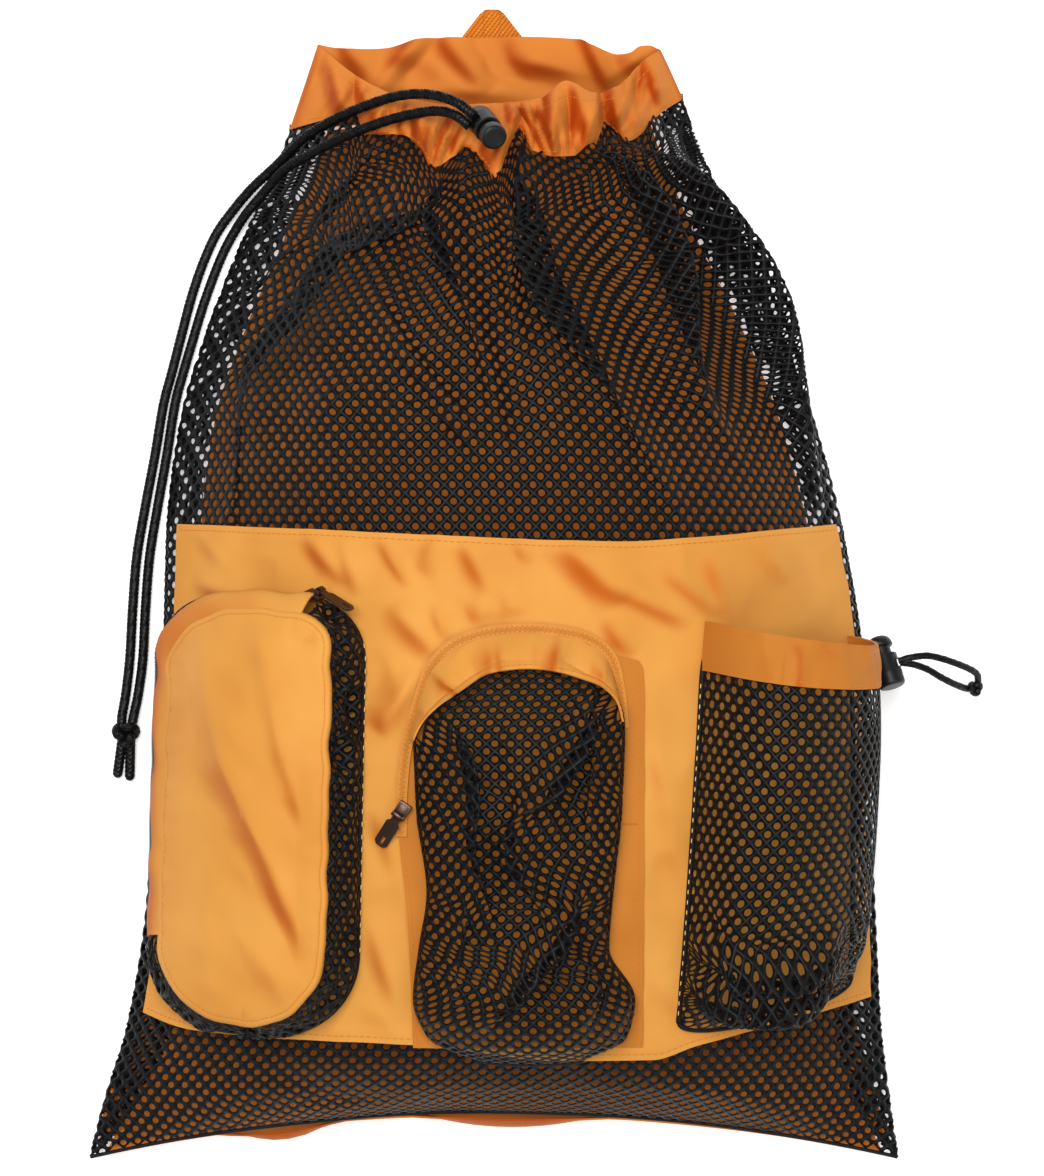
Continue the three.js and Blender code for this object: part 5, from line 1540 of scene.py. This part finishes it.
print("the collar's front rises to", round(front_part[..., 2].max()), "mm")

# %% Back of the collar
back_t = np.linspace(1, 0, 110)[None, 1:-1]
left_seam, right_seam = front_seam[0, 0], front_seam[0, -1]
back_s = 2 * back_t - 1
back_seam = left_seam + (right_seam - left_seam) * back_t[..., None]
back_seam[..., 2] = BACK_Z
top_x = COLLAR_LEFT + (COLLAR_RIGHT - COLLAR_LEFT) * back_t
top_z = COLLAR_BACK_Z + (COLLAR_END_Z - COLLAR_BACK_Z) * back_s**8
back_top = stacked(top_x, column(COLLAR_EDGE, 1, top_x), top_z)
back_part = back_seam + (back_top - back_seam) * collar_share[..., None]
back_part[..., 1] += COLLAR_GAP * (1 - collar_share)
back_part[..., 2] += 2 * puff
fold_x, fold_y = back_part[..., 0], back_part[..., 1]
back_folds = 0.8 * creases(fold_x, fold_y, BACK_CREASES, wider=2.0, crisp=True)
back_folds = back_folds + ridged(fold_x + 0.6 * fold_y, fold_y, wavelength=30, seed=57)
back_folds = np.maximum(back_folds, -0.8) * smoothstep(collar_share, 0, 0.3)
back_part[..., 2] += back_folds * (1 - back_s**6)
collar_grid = np.concatenate([front_part, back_part], axis=1)
# The collar's darker orange is painted shade, from a darker copy of the nylon.
cloth("collar_nylon", collar_grid, NYLON, "nylon_in_darker_painted_shade", ["collar"], closed=True)
for row in (2.4, 29.0):
    line, up = row_on_grid(collar_grid, NYLON, row, 0, True)
    stitch(line[10:250], up[10:250], pitch=3.0, length=2.2)

# %% [markdown]
# ## The back panel, straps and haul loop
# The back panel is plain nylon, hidden but for its lower edge and what shows through the netting. The straps
# and the haul loop are woven tape. Every thread could be built, but their weave is fine enough for the
# finish to carry, so only the outline, the fold and the thickness are made.

# %% Back panel
back_heights = np.linspace(SACK_LOW, SACK_HIGH, 96)[:, None]
back_row = sack_row(back_heights)
back_across = np.linspace(-1, 1, 49)[None]
BOTTOM_ROWS = [SACK_LOW, -284, -262]
turn_up = np.interp(back_heights, BOTTOM_ROWS, [1, 0.45, 0])
out_low = np.interp(back_heights, BOTTOM_ROWS, [1.8, 9, 0])
PEEKS = [(-110, 32, 12), (10, 52, 9)]
corners = front_of_row(np.array([[-1.0, 1.0]]), back_heights)
left_corner, right_corner = corners[:, :1], corners[:, 1:]
back_x = back_row["middle"] + (back_row["half"] - back_row["inset"] - 0.4) * back_across
back_part_of = (back_x - left_corner[..., 0]) / (right_corner[..., 0] - left_corner[..., 0])
seam_z = front_of_row(2 * back_part_of - 1, np.array([[SACK_LOW]]))[..., 2]
back_middle = 1 - back_across**2
back_y = left_corner[..., 1] + (right_corner[..., 1] - left_corner[..., 1]) * back_part_of
back_y = back_y + (back_row["bow"] - out_low) * back_middle
for peek_x, peek_half, peek in PEEKS:
    share = np.clip(1 - ((back_x - peek_x) / peek_half) ** 2, 0, 1)
    back_y = back_y - peek * share * np.interp(back_heights, BOTTOM_ROWS, [0.3, 1, 0])
back_z = BACK_Z + turn_up * (seam_z - BACK_Z) * back_middle
back_ripple = 0.5 * (1 + ripple(back_x, back_y, wavelength=60, seed=17)) * (1 - turn_up)
back_panel = stacked(back_x, back_y, back_z + back_ripple)
# The back panel's darker orange is painted shade, from a darker copy of the nylon.
cloth("back", back_panel, NYLON, "nylon_in_darker_painted_shade", ["back_panel"])

# %% Haul loop
LOOP_PATH = [(249, 2.4), (263, 6.6), (282, 7.6), (292, 7.6)]
LOOP_BACK = [(292, 0.9), (282, 0.9), (249, 0.9)]
LOOP_END = np.array([297.5, 4.25])
LOOP_RADIUS = 3.35
LOOP_WIDE = 40
LOOP_NARROW = 14
LOOP_SHOULDER = 281
LOOP_TIP = 298
LOOP_THICKNESS = 1.4
loop_angle = np.linspace(np.pi / 2, -np.pi / 2, 14)
loop_turn = LOOP_END + LOOP_RADIUS * stacked(np.cos(loop_angle), np.sin(loop_angle))
loop_line = np.concatenate([LOOP_PATH, loop_turn, LOOP_BACK])
loop_line = spaced(np.pad(loop_line, ((0, 0), (1, 0))), 1.2)
loop_share = np.clip((loop_line[:, 1] - LOOP_SHOULDER) / (LOOP_TIP - LOOP_SHOULDER), 0, 1)[:, None]
loop_half = (LOOP_WIDE + (LOOP_NARROW - LOOP_WIDE) * loop_share) / 2
loop_half = loop_half * np.sqrt(1 - 0.8 * np.clip((loop_line[:, 1:2] - 296.5) / 4.4, 0, 1) ** 2)
loop_across = np.linspace(-1, 1, 45)[None]
loop_x = loop_half * loop_across
loop_groove = 0.9 * (1 - smoothstep(np.abs(loop_x), 4.2, 5.4)) * (loop_line[:, 2:3] > 5)
loop_grid = stacked(loop_x, loop_line[:, 1:2] + 0 * loop_across, loop_line[:, 2:3] - loop_groove)
cloth("loop", loop_grid, LOOP_THICKNESS, "webbing", ["haul_loop"])

# %% Shoulder straps
STRAP_TOP = (45, 234)
STRAP_FOOT = (187, -286)
STRAP_HALF = 19
STRAP_THICKNESS = 2.6
STRAP_Z = 1.5
strap_t = np.linspace(1, 0, 90)[:, None]
strap_w = np.linspace(-STRAP_HALF, STRAP_HALF, 21)[None]
strap_y = STRAP_TOP[1] + (STRAP_FOOT[1] - STRAP_TOP[1]) * strap_t + 0 * strap_w
for side, name in ((-1, "left"), (1, "right")):
    strap_x = side * (STRAP_TOP[0] + (STRAP_FOOT[0] - STRAP_TOP[0]) * strap_t) + strap_w
    strap_grid = stacked(strap_x, strap_y, np.full_like(strap_x, STRAP_Z))
    node = f"shoulder_strap_{name}"
    cloth(f"strap_{name}", strap_grid, STRAP_THICKNESS, "webbing", [node])

# %% [markdown]
# ## Locks, sliders and pull tabs
# The hard pieces are moulded or stamped. A lock is a turned barrel with a plunger in it and a slot through
# both for the cord: a profile gives its soft edges, and a boolean cuts the slot. A slider is a small
# bevelled block with two ears and a pin, and its tab is a flat outline with a hole, thickened by a curve's
# own bevel. Modifiers are applied at once, so that each piece ends as a plain mesh.

# %% Turned and cut pieces
def final_mesh(obj):
    """The mesh that an object's modifiers or its curve come to."""
    return bpy.data.meshes.new_from_object(obj.evaluated_get(bpy.context.evaluated_depsgraph_get()))


def baked(obj, *cutters):
    """The piece with its modifiers applied, and the tools that cut it taken away."""
    obj.data = final_mesh(obj)
    obj.modifiers.clear()
    for cutter in cutters:
        bpy.data.objects.remove(cutter)
    return obj


def plain_object(name, points, faces):
    mesh = bpy.data.meshes.new(name)
    mesh.from_pydata(np.asarray(points).tolist(), [], [list(f) for f in faces])
    return in_scene(name, mesh)


def block(name, low, high):
    """A box between two corners."""
    (x0, y0, z0), (x1, y1, z1) = low, high
    points = [(x, y, z) for z in (z0, z1) for x, y in ((x0, y0), (x1, y0), (x1, y1), (x0, y1))]
    faces = [(3, 2, 1, 0), (4, 5, 6, 7), (0, 1, 5, 4), (1, 2, 6, 5), (2, 3, 7, 6), (3, 0, 4, 7)]
    return plain_object(name, points, faces)


def turned(name, profile, sides=48):
    """A turned piece from a profile of radius and height that starts and ends on the axis."""
    profile = np.asarray(profile, float)
    inner = profile[1:-1]
    angle = np.linspace(0, 2 * np.pi, sides, endpoint=False)
    rings = [stacked(r * np.cos(angle), r * np.sin(angle), np.full(sides, z)) for r, z in inner]
    points = np.concatenate(rings + [[(0, 0, profile[0, 1])], [(0, 0, profile[-1, 1])]])
    count = len(inner)
    faces = []
    for k in range(sides):
        n = (k + 1) % sides
        faces.append((n, k, count * sides))
        for low in range(0, (count - 1) * sides, sides):
            faces.append((low + k, low + n, low + sides + n, low + sides + k))
        faces.append(((count - 1) * sides + k, (count - 1) * sides + n, count * sides + 1))
    return plain_object(name, points, faces)


def round_corner(corner, before, after, radius, steps=5):
    """A profile's corner, rounded."""
    corner, before, after = (np.asarray(p, float) for p in (corner, before, after))
    start = corner + unit(before - corner) * radius
    end = corner + unit(after - corner) * radius
    t = np.linspace(0, 1, steps)[:, None]
    return (start * (1 - t) ** 2 + corner * 2 * t * (1 - t) + end * t**2).tolist()


def place(obj, x_axis, y_axis, z_axis, at):
    """Turns and moves a piece from its own millimetres to its place on the bag, in metres."""
    turn = Matrix((x_axis, y_axis, z_axis)).transposed().to_4x4()
    obj.data.transform(Matrix.Translation(Vector(at) * MM) @ turn @ Matrix.Scale(MM, 4))
    obj.data.update()
    return obj


def smooth_by_angle(obj, degrees):
    obj.data.polygons.foreach_set("use_smooth", np.ones(len(obj.data.polygons), bool))
    obj.data.set_sharp_from_angle(angle=math.radians(degrees))


print("hard pieces can be turned")


# %% Cord locks
def lock(prefix, at, axis, exit_way, domed):
    """A barrel and its plunger, with a slot through both."""
    z = Vector(axis).normalized()
    x = Vector(exit_way)
    x = (x - z * x.dot(z)).normalized()
    y = z.cross(x)
    low, rim, bore, floor = (7, -8.5), (7, 8.5), (5.2, 8.5), (5.2, -5.5)
    barrel_profile = [(0, -8.5)] + round_corner(low, (0, -8.5), rim, 2.2, 7)
    barrel_profile += [(7, -3), (7.12, -2.4), (7.12, -1.2), (7, -0.6)]
    barrel_profile += round_corner(rim, low, bore, 0.5) + round_corner(bore, rim, floor, 0.4)
    barrel_profile += [floor, (0, -5.5)]
    barrel = turned(prefix + "_barrel_turned", barrel_profile)
    top = (0, 19.4 if domed else 19)
    edge = 3.4 if domed else 1.1
    stem_foot, stem_head, head_low, head_high = (4.8, -1), (4.8, 12.8), (6.6, 12.8), (6.6, 19)
    plunger_profile = [(0, -1)] + round_corner(stem_foot, (0, -1), stem_head, 0.5) + [stem_head]
    plunger_profile += round_corner(head_low, stem_head, head_high, 1.6 if domed else 0.6)
    plunger_profile += round_corner(head_high, head_low, top, edge * 1.6, 9)
    if not domed:
        plunger_profile += [(4.4, 19), (4.2, 18.75), (0.3, 18.7)]
        top = (0, 18.7)
    plunger = turned(prefix + "_plunger_turned", plunger_profile + [top])
    parts = ((barrel, 8, 0.5, 5.5, "bag", "barrel"), (plunger, 6.4, 1.2, 5, prefix + "_plunger", "plunger"))
    for obj, width, slot_low, slot_high, body, kind in parts:
        cutter = block(prefix + "_slot", (-14, -width / 2, slot_low), (14, width / 2, slot_high))
        cut = obj.modifiers.new("slot", "BOOLEAN")
        cut.operation = "DIFFERENCE"
        cut.object = cutter
        baked(obj, cutter)
        smooth_by_angle(obj, 40)
        place(obj, x, y, z, at)
        dress(obj, "lock_plastic", [f"{prefix}_lock_{kind}"], body)


lock("collar", (-4, 235, 75.3), (0.32, -0.47, 0.82), (-0.86, 0.31, 0.41), False)
lock("bottle", (203.7, -43, 38), (-0.27, 0.92, -0.28), (0.86, 0.5, 0.1), True)
print("locks turned")

# %% Pull tabs
TAB_LENGTH = 20
TAB_WIDTH = 7.4
EYE_SIDES = 28


def joined(name, objects):
    """Several meshes as one."""
    points, faces = [], []
    for obj in objects:
        start = len(points)
        points += [tuple(v.co) for v in obj.data.vertices]
        faces += [[start + k for k in p.vertices] for p in obj.data.polygons]
        bpy.data.objects.remove(obj)
    return plain_object(name, points, faces)


def bevelled(obj, width, segments=2):
    bevel = obj.modifiers.new("bevel", "BEVEL")
    bevel.width = width
    bevel.segments = segments
    bevel.limit_method = "ANGLE"
    return baked(obj)


def pull_tab(prefix):
    """A flat tab with a hole near its end and an eye round its pin, along +X from the pin."""
    curve = bpy.data.curves.new(prefix + "_tab_outline", "CURVE")
    curve.dimensions = "2D"
    curve.fill_mode = "BOTH"
    curve.extrude = 0.32
    curve.bevel_depth = 0.24
    curve.bevel_resolution = 3
    neck, wide, end = 1.95, TAB_WIDTH / 2 - 0.25, TAB_LENGTH - 0.25
    outline = [(1.2, -neck), (4, -neck), (5.6, -wide), (end - 1.6, -wide), (end, -wide + 1.6)]
    outline += [(x, -y) for x, y in outline[::-1]]
    hole = [(end - 1.2 - 4.6, s) for s in (-1.1, 1.1)] + [(end - 1.2, s) for s in (1.1, -1.1)]
    for points in (outline, hole):
        spline = curve.splines.new("POLY")
        spline.points.add(len(points) - 1)
        spline.use_cyclic_u = True
        for p, (px, py) in zip(spline.points, points):
            p.co = (px, py, 0, 1)
    shape = in_scene(prefix + "_tab_outline", curve)
    plate = in_scene(prefix + "_tab_plate", final_mesh(shape))
    bpy.data.objects.remove(shape)
    turn = np.linspace(0, 2 * np.pi, EYE_SIDES, endpoint=False)
    eye_points = []
    for radius, w in ((1.9, -neck), (1.9, neck), (1.05, neck), (1.05, -neck)):
        x, z = radius * np.cos(turn), radius * np.sin(turn)
        eye_points.append(stacked(x, np.full(EYE_SIDES, w), z))
    ring = np.arange(4 * EYE_SIDES).reshape(4, EYE_SIDES)
    ahead, beside = np.roll(ring, -1, axis=1), np.roll(ring, -1, axis=0)
    corner = np.roll(ahead, -1, axis=0)
    eye_faces = stacked(ring, ahead, corner, beside).reshape(-1, 4).tolist()
    eye = plain_object(prefix + "_tab_eye", np.concatenate(eye_points), eye_faces)
    tab = joined(f"{prefix}_zip_tab", [plate, bevelled(eye, 0.15)])
    smooth_by_angle(tab, 35)
    return tab


print("tabs are", TAB_LENGTH, "mm long")

# %% Sliders
PIN_HEIGHT = 4.7
EAR_AT = 2.95


def slider(prefix, pin_at, x, y, z, droop):
    """A slider's body and its tab, from the tab's hinge frame at rest."""
    tab_x, tab_y, tab_z = Vector(x), Vector(y), Vector(z)
    back = Matrix.Rotation(-droop, 3, tab_y)
    body_x, body_z = back @ tab_x, back @ tab_z
    body = block(prefix + "_block", (-7, -3.5, 0), (2, 3.5, 2.6))
    crown = block(prefix + "_crown", (-6, -2.4, 2.4), (1, 2.4, 3.4))
    ears = []
    for middle in (-EAR_AT, EAR_AT):
        ears.append(block(prefix + "_ear", (-1.5, middle - 0.55, 2.5), (1.5, middle + 0.55, 5.6)))
    shaped = [bevelled(o, 0.5) for o in (body, crown, *ears)]
    pin = turned(prefix + "_pin", [(0, -EAR_AT), (0.7, -EAR_AT), (0.7, EAR_AT), (0, EAR_AT)], 16)
    pin.data.transform(Matrix.Translation((0, 0, PIN_HEIGHT)) @ Matrix.Rotation(math.pi / 2, 4, "X"))
    whole = joined(f"{prefix}_zip_slider_body", [*shaped, pin])
    foot = Vector(pin_at) - body_z * PIN_HEIGHT
    smooth_by_angle(whole, 35)
    place(whole, body_x, tab_y, body_z, foot)
    dress(whole, "zip_metal", [f"{prefix}_zip_slider"])
    tab = pull_tab(prefix)
    place(tab, tab_x, tab_y, tab_z, pin_at)
    dress(tab, "zip_metal", [f"{prefix}_zip_pull"], f"{prefix}_pull")


slider(
    "box", (-85.357, -1.172, 101.32), (0.8041, -0.4851, 0.3436), (0.4968, 0.2309, -0.8365),
    (0.3265, 0.8434, 0.4267), droop=0.15,
)
slider(
    "pouch", (-46.458, -113.665, 105.708), (-0.4747, -0.7647, -0.4357), (0.8151, -0.5687, 0.1102),
    (-0.3321, -0.3029, 0.8933), droop=0.3,
)
print("sliders stamped")

# %% All the stitches
for colour, groups in STITCHES.items():
    points, faces, start = [], [], 0
    for group_points, group_faces in groups:
        points.append(group_points)
        faces.append(group_faces + start)
        start += len(group_points)
    new_piece(colour, np.concatenate(points), np.concatenate(faces), colour, sharp=0)
    print(colour, start // 30, "stitches")

# %% [markdown]
# ## Finishes
# Nylon is a tight plain weave, tape a coarse zigzag weave, and netting and cord are dull yarn. Photographs
# of cloth could be wrapped round them, but small shader groups follow the cloth at any distance and are
# shared by many finishes. Each works in cloth coordinates, in metres, or in the object's own, and hands out
# a plain mask or height. The material decides what it does: it mixes two close colours, paints the nylon a
# deeper orange as shade by the painted-shade value that each fold carries, and bumps the surface a little.
# On the nylon the two colours are partly painted sheen, and the tape's follow its weave, with painted shade
# in its grooves. Two darker copies of the nylon are painted shade as a whole.

# %% Shader groups
def group_of(name, label, value, output):
    """A shader group with one named input and one named output, and its two sockets."""
    tree = bpy.data.node_groups.new(name, "ShaderNodeTree")
    socket = tree.interface.new_socket(label, in_out="INPUT", socket_type="NodeSocketFloat")
    socket.default_value = value
    tree.interface.new_socket(output, in_out="OUTPUT", socket_type="NodeSocketFloat")
    given = tree.nodes.new("NodeGroupInput").outputs[label]
    return tree, given, tree.nodes.new("NodeGroupOutput").inputs[output]


def maths(tree, operation, a, b=None):
    """A maths node on sockets or numbers, and its output."""
    node = tree.nodes.new("ShaderNodeMath")
    node.operation = operation
    for socket, value in zip(node.inputs, (a, b)):
        if isinstance(value, (int, float)):
            socket.default_value = value
        elif value is not None:
            tree.links.new(value, socket)
    return node.outputs[0]


def cloth_coordinates(tree):
    where = tree.nodes.new("ShaderNodeTexCoord")
    parts = tree.nodes.new("ShaderNodeSeparateXYZ")
    tree.links.new(where.outputs["UV"], parts.inputs[0])
    return parts.outputs["X"], parts.outputs["Y"]


def noise_group(name, scale, output):
    """A group that hands out noise over the object's own coordinates."""
    tree, given, result = group_of(name, "Scale", scale, output)
    where = tree.nodes.new("ShaderNodeTexCoord")
    texture = tree.nodes.new("ShaderNodeTexNoise")
    texture.inputs["Detail"].default_value = 2.0
    tree.links.new(where.outputs["Object"], texture.inputs["Vector"])
    tree.links.new(given, texture.inputs["Scale"])
    tree.links.new(texture.outputs[0], result)
    return tree


plain_weave, threads, weave_height = group_of("Plain weave", "Threads per metre", 1100.0, "Height")
u, v = cloth_coordinates(plain_weave)
turns = maths(plain_weave, "MULTIPLY", threads, 2 * math.pi)
warp = maths(plain_weave, "SINE", maths(plain_weave, "MULTIPLY", u, turns))
weft = maths(plain_weave, "SINE", maths(plain_weave, "MULTIPLY", v, turns))
crossed = maths(plain_weave, "MULTIPLY", warp, weft)
lifted = maths(plain_weave, "MULTIPLY", maths(plain_weave, "ADD", crossed, 1.0), 0.5)
plain_weave.links.new(lifted, weave_height)

zigzag, ribs, zigzag_height = group_of("Zigzag weave", "Ribs per metre", 400.0, "Height")
u, v = cloth_coordinates(zigzag)
rib = maths(zigzag, "MULTIPLY", u, ribs)
slant = maths(zigzag, "PINGPONG", rib, 1.0)
rise = maths(zigzag, "ADD", maths(zigzag, "MULTIPLY", v, 700.0), slant)
cord_line = maths(zigzag, "SINE", maths(zigzag, "MULTIPLY", rise, 2 * math.pi))
rib_line = maths(zigzag, "SINE", maths(zigzag, "MULTIPLY", rib, math.pi))
rounded_rib = maths(zigzag, "ABSOLUTE", rib_line)
height = maths(zigzag, "ADD", maths(zigzag, "MULTIPLY", cord_line, 0.3), rounded_rib)
zigzag.links.new(height, zigzag_height)

# On the nylon, these blotches of lighter and darker orange are partly random tone and partly painted sheen.
blotches = noise_group("Soft blotches", 14.0, "Mask")
grain = noise_group("Fine grain", 900.0, "Height")
print("shader groups:", [g.name for g in bpy.data.node_groups])

# %% Materials
def use(tree, group, label, value):
    """A group in a material, with one input set, and its first output."""
    node = tree.nodes.new("ShaderNodeGroup")
    node.node_tree = group
    node.inputs[label].default_value = value
    return node.outputs[0]


def mixed(tree, share, none, full):
    """Two colours mixed by a share, each given as numbers or as a socket."""
    mix = tree.nodes.new("ShaderNodeMix")
    mix.data_type = "RGBA"
    tree.links.new(share, mix.inputs[0])
    for socket, colour in ((mix.inputs[6], none), (mix.inputs[7], full)):
        if isinstance(colour, tuple):
            socket.default_value = (*colour, 1)
        else:
            tree.links.new(colour, socket)
    return mix.outputs[2]


def material(name, light, dark, roughness, relief, blotch=None, folds=None, look=None):
    """A finish that mixes two colours, takes painted shade in folds and is bumped by a group's height.

    The relief is that group with its input, and the strength and depth of the bump. The colours mix by
    blotches of the given scale, or by the height where none is given, which paints shade into the low parts.
    The folds colour is painted shade, mixed in by each point's painted-shade value.
    """
    *height, bump, depth = relief
    made = bpy.data.materials.new(name)
    made.use_nodes = True
    tree = made.node_tree
    shader = tree.nodes["Principled BSDF"]
    raised = use(tree, *height)
    share = use(tree, blotches, "Scale", blotch) if blotch else raised
    colour = mixed(tree, share, dark, light)
    # Painted shade: the folds colour, mixed in by each point's painted-shade value.
    if folds:
        shaded = tree.nodes.new("ShaderNodeAttribute")
        shaded.attribute_name = "painted_shade"
        colour = mixed(tree, shaded.outputs["Fac"], colour, folds)
    tree.links.new(colour, shader.inputs["Base Color"])
    shader.inputs["Roughness"].default_value = roughness
    for label, value in (look or {}).items():
        shader.inputs[label].default_value = value
    bump_node = tree.nodes.new("ShaderNodeBump")
    bump_node.inputs["Strength"].default_value = bump
    bump_node.inputs["Distance"].default_value = depth
    tree.links.new(raised, bump_node.inputs["Height"])
    tree.links.new(bump_node.outputs[0], shader.inputs["Normal"])
    return made


def grain_of(scale, bump=0.3, depth=0.0002):
    return grain, "Scale", scale, bump, depth


print("finishes can be mixed")

# %% Finishes of this bag
WEAVE = (plain_weave, "Threads per metre", 1100.0, 0.25, 0.0001)
TAPE = (zigzag, "Ribs per metre", 420.0, 0.9, 0.0005)
NYLON_LOOK = {
    "Specular IOR Level": 0.05, "Sheen Weight": 0.01, "Sheen Roughness": 0.4, "Sheen Tint": (1, 0.6, 0.3, 1),
}
YARN_LOOK = {
    "Specular IOR Level": 0.18, "Sheen Weight": 0.01, "Sheen Roughness": 0.4, "Sheen Tint": (0.8, 0.85, 1, 1),
}
DULL = {"Specular IOR Level": 0.15}
# In each nylon finish the folds colour is painted shade.
FINISHES = {
    # The nylon's blotches of lighter and darker orange are partly painted sheen.
    "nylon": material(
        "orange nylon", (0.67, 0.322, 0.07), (0.51, 0.19, 0.028), 0.5, WEAVE,
        blotch=20.0, folds=(0.44, 0.095, 0.009), look=NYLON_LOOK,
    ),
    # Painted shade: a darker copy of the nylon for the pouch's panel and the bottle pocket's hem.
    "nylon_in_painted_shade": material(
        "orange nylon in painted shade", (0.5, 0.18, 0.027), (0.42, 0.14, 0.019), 0.55, WEAVE,
        blotch=18.0, folds=(0.34, 0.05, 0.004), look=NYLON_LOOK,
    ),
    # Painted shade: a darker, redder copy of the nylon for the collar and the back panel, which lie in shade.
    "nylon_in_darker_painted_shade": material(
        "orange nylon in darker painted shade", (0.66, 0.225, 0.04), (0.52, 0.145, 0.02), 0.6, WEAVE,
        blotch=24.0, folds=(0.38, 0.055, 0.004), look={"Specular IOR Level": 0.06},
    ),
    # The tape's colour follows its weave's height, so its grooves are painted darker as shade.
    "webbing": material(
        "orange tape", (0.72, 0.22, 0.025), (0.4, 0.09, 0.008), 0.6, TAPE, look=NYLON_LOOK,
    ),
    "netting": material(
        "black netting", (0.0036, 0.0036, 0.004), (0.0015, 0.0015, 0.0018), 0.5,
        grain_of(1500.0, 0.5, 0.0003), blotch=400.0, look=YARN_LOOK,
    ),
    "netting_edge": material(
        "black binding", (0.006, 0.006, 0.007), (0.0025, 0.0025, 0.003), 0.6, grain_of(900.0, 0.8, 0.0006),
        blotch=300.0, look=YARN_LOOK,
    ),
    "cord": material(
        "black cord", (0.004, 0.004, 0.004), (0.002, 0.002, 0.002), 0.36, grain_of(1800.0, 0.4, 0.0003),
        blotch=300.0, look=YARN_LOOK,
    ),
    "lock_plastic": material(
        "black plastic", (0.006, 0.006, 0.0065), (0.004, 0.004, 0.0045), 0.42, grain_of(2500.0, 0.15),
        blotch=120.0, look={"Specular IOR Level": 0.3},
    ),
    "zip_metal": material(
        "dark metal", (0.10, 0.055, 0.04), (0.05, 0.03, 0.024), 0.35, grain_of(1200.0, 0.15),
        blotch=200.0, look={"Metallic": 0.85},
    ),
    "zip_black": material(
        "black coil", (0.012, 0.012, 0.013), (0.006, 0.006, 0.007), 0.5, grain_of(1500.0),
        blotch=200.0,
    ),
    "zip_orange": material(
        "orange coil", (0.56, 0.22, 0.03), (0.48, 0.17, 0.02), 0.5, grain_of(1500.0),
        blotch=200.0, look=DULL,
    ),
    "thread_orange": material(
        "orange thread", (0.6, 0.19, 0.02), (0.5, 0.14, 0.014), 0.5, grain_of(3000.0),
        blotch=300.0, look=DULL,
    ),
    "thread_gold": material(
        "gold thread", (0.78, 0.5, 0.16), (0.62, 0.36, 0.1), 0.5, grain_of(3000.0), blotch=300.0,
    ),
}
for name, finish in FINISH_OF.items():
    finishes = bpy.data.objects[name].data.materials
    finishes.clear()
    finishes.append(FINISHES[finish])
print(len(FINISH_OF), "pieces finished")

# %% [markdown]
# ## Floor and light
# The picture is bright and soft with a white ground. A pale floor under the bag takes its contact shadow and
# gives off a little light, because a lit floor alone comes out grey. A wide light from above models the
# folds, and a weak one opposite keeps the black netting readable.

# %% Floor and light
floor = block("floor", (-4, -4, -0.012), (4, 4, -0.0002))
floor_finish = bpy.data.materials.new("pale floor")
floor_finish.use_nodes = True
floor_shader = floor_finish.node_tree.nodes["Principled BSDF"]
FLOOR_LOOK = {
    "Base Color": (0.93, 0.93, 0.93, 1), "Roughness": 0.9,
    "Emission Color": (1, 1, 1, 1), "Emission Strength": 0.34,
}
for label, value in FLOOR_LOOK.items():
    floor_shader.inputs[label].default_value = value
floor.data.materials.append(floor_finish)


def area_light(name, at, size, power):
    """A square light that looks at the middle of the bag."""
    data = bpy.data.lights.new(name, "AREA")
    data.size = size
    data.energy = power
    obj = in_scene(name, data)
    obj.location = at
    obj.rotation_euler = (Vector((0, 0, 0.05)) - Vector(at)).to_track_quat("-Z", "Y").to_euler()


area_light("key", (-0.4, 0.6, 2.85), 1.6, 92)
area_light("fill", (1.2, -0.9, 2.2), 1.6, 20)
world = bpy.context.scene.world or bpy.data.worlds.new("world")
bpy.context.scene.world = world
world.use_nodes = True
background = world.node_tree.nodes["Background"]
background.inputs["Color"].default_value = (1, 1, 1, 1)
background.inputs["Strength"].default_value = 0.32
bpy.context.scene.view_settings.view_transform = "Standard"
print("lights:", [light.name for light in bpy.data.lights])
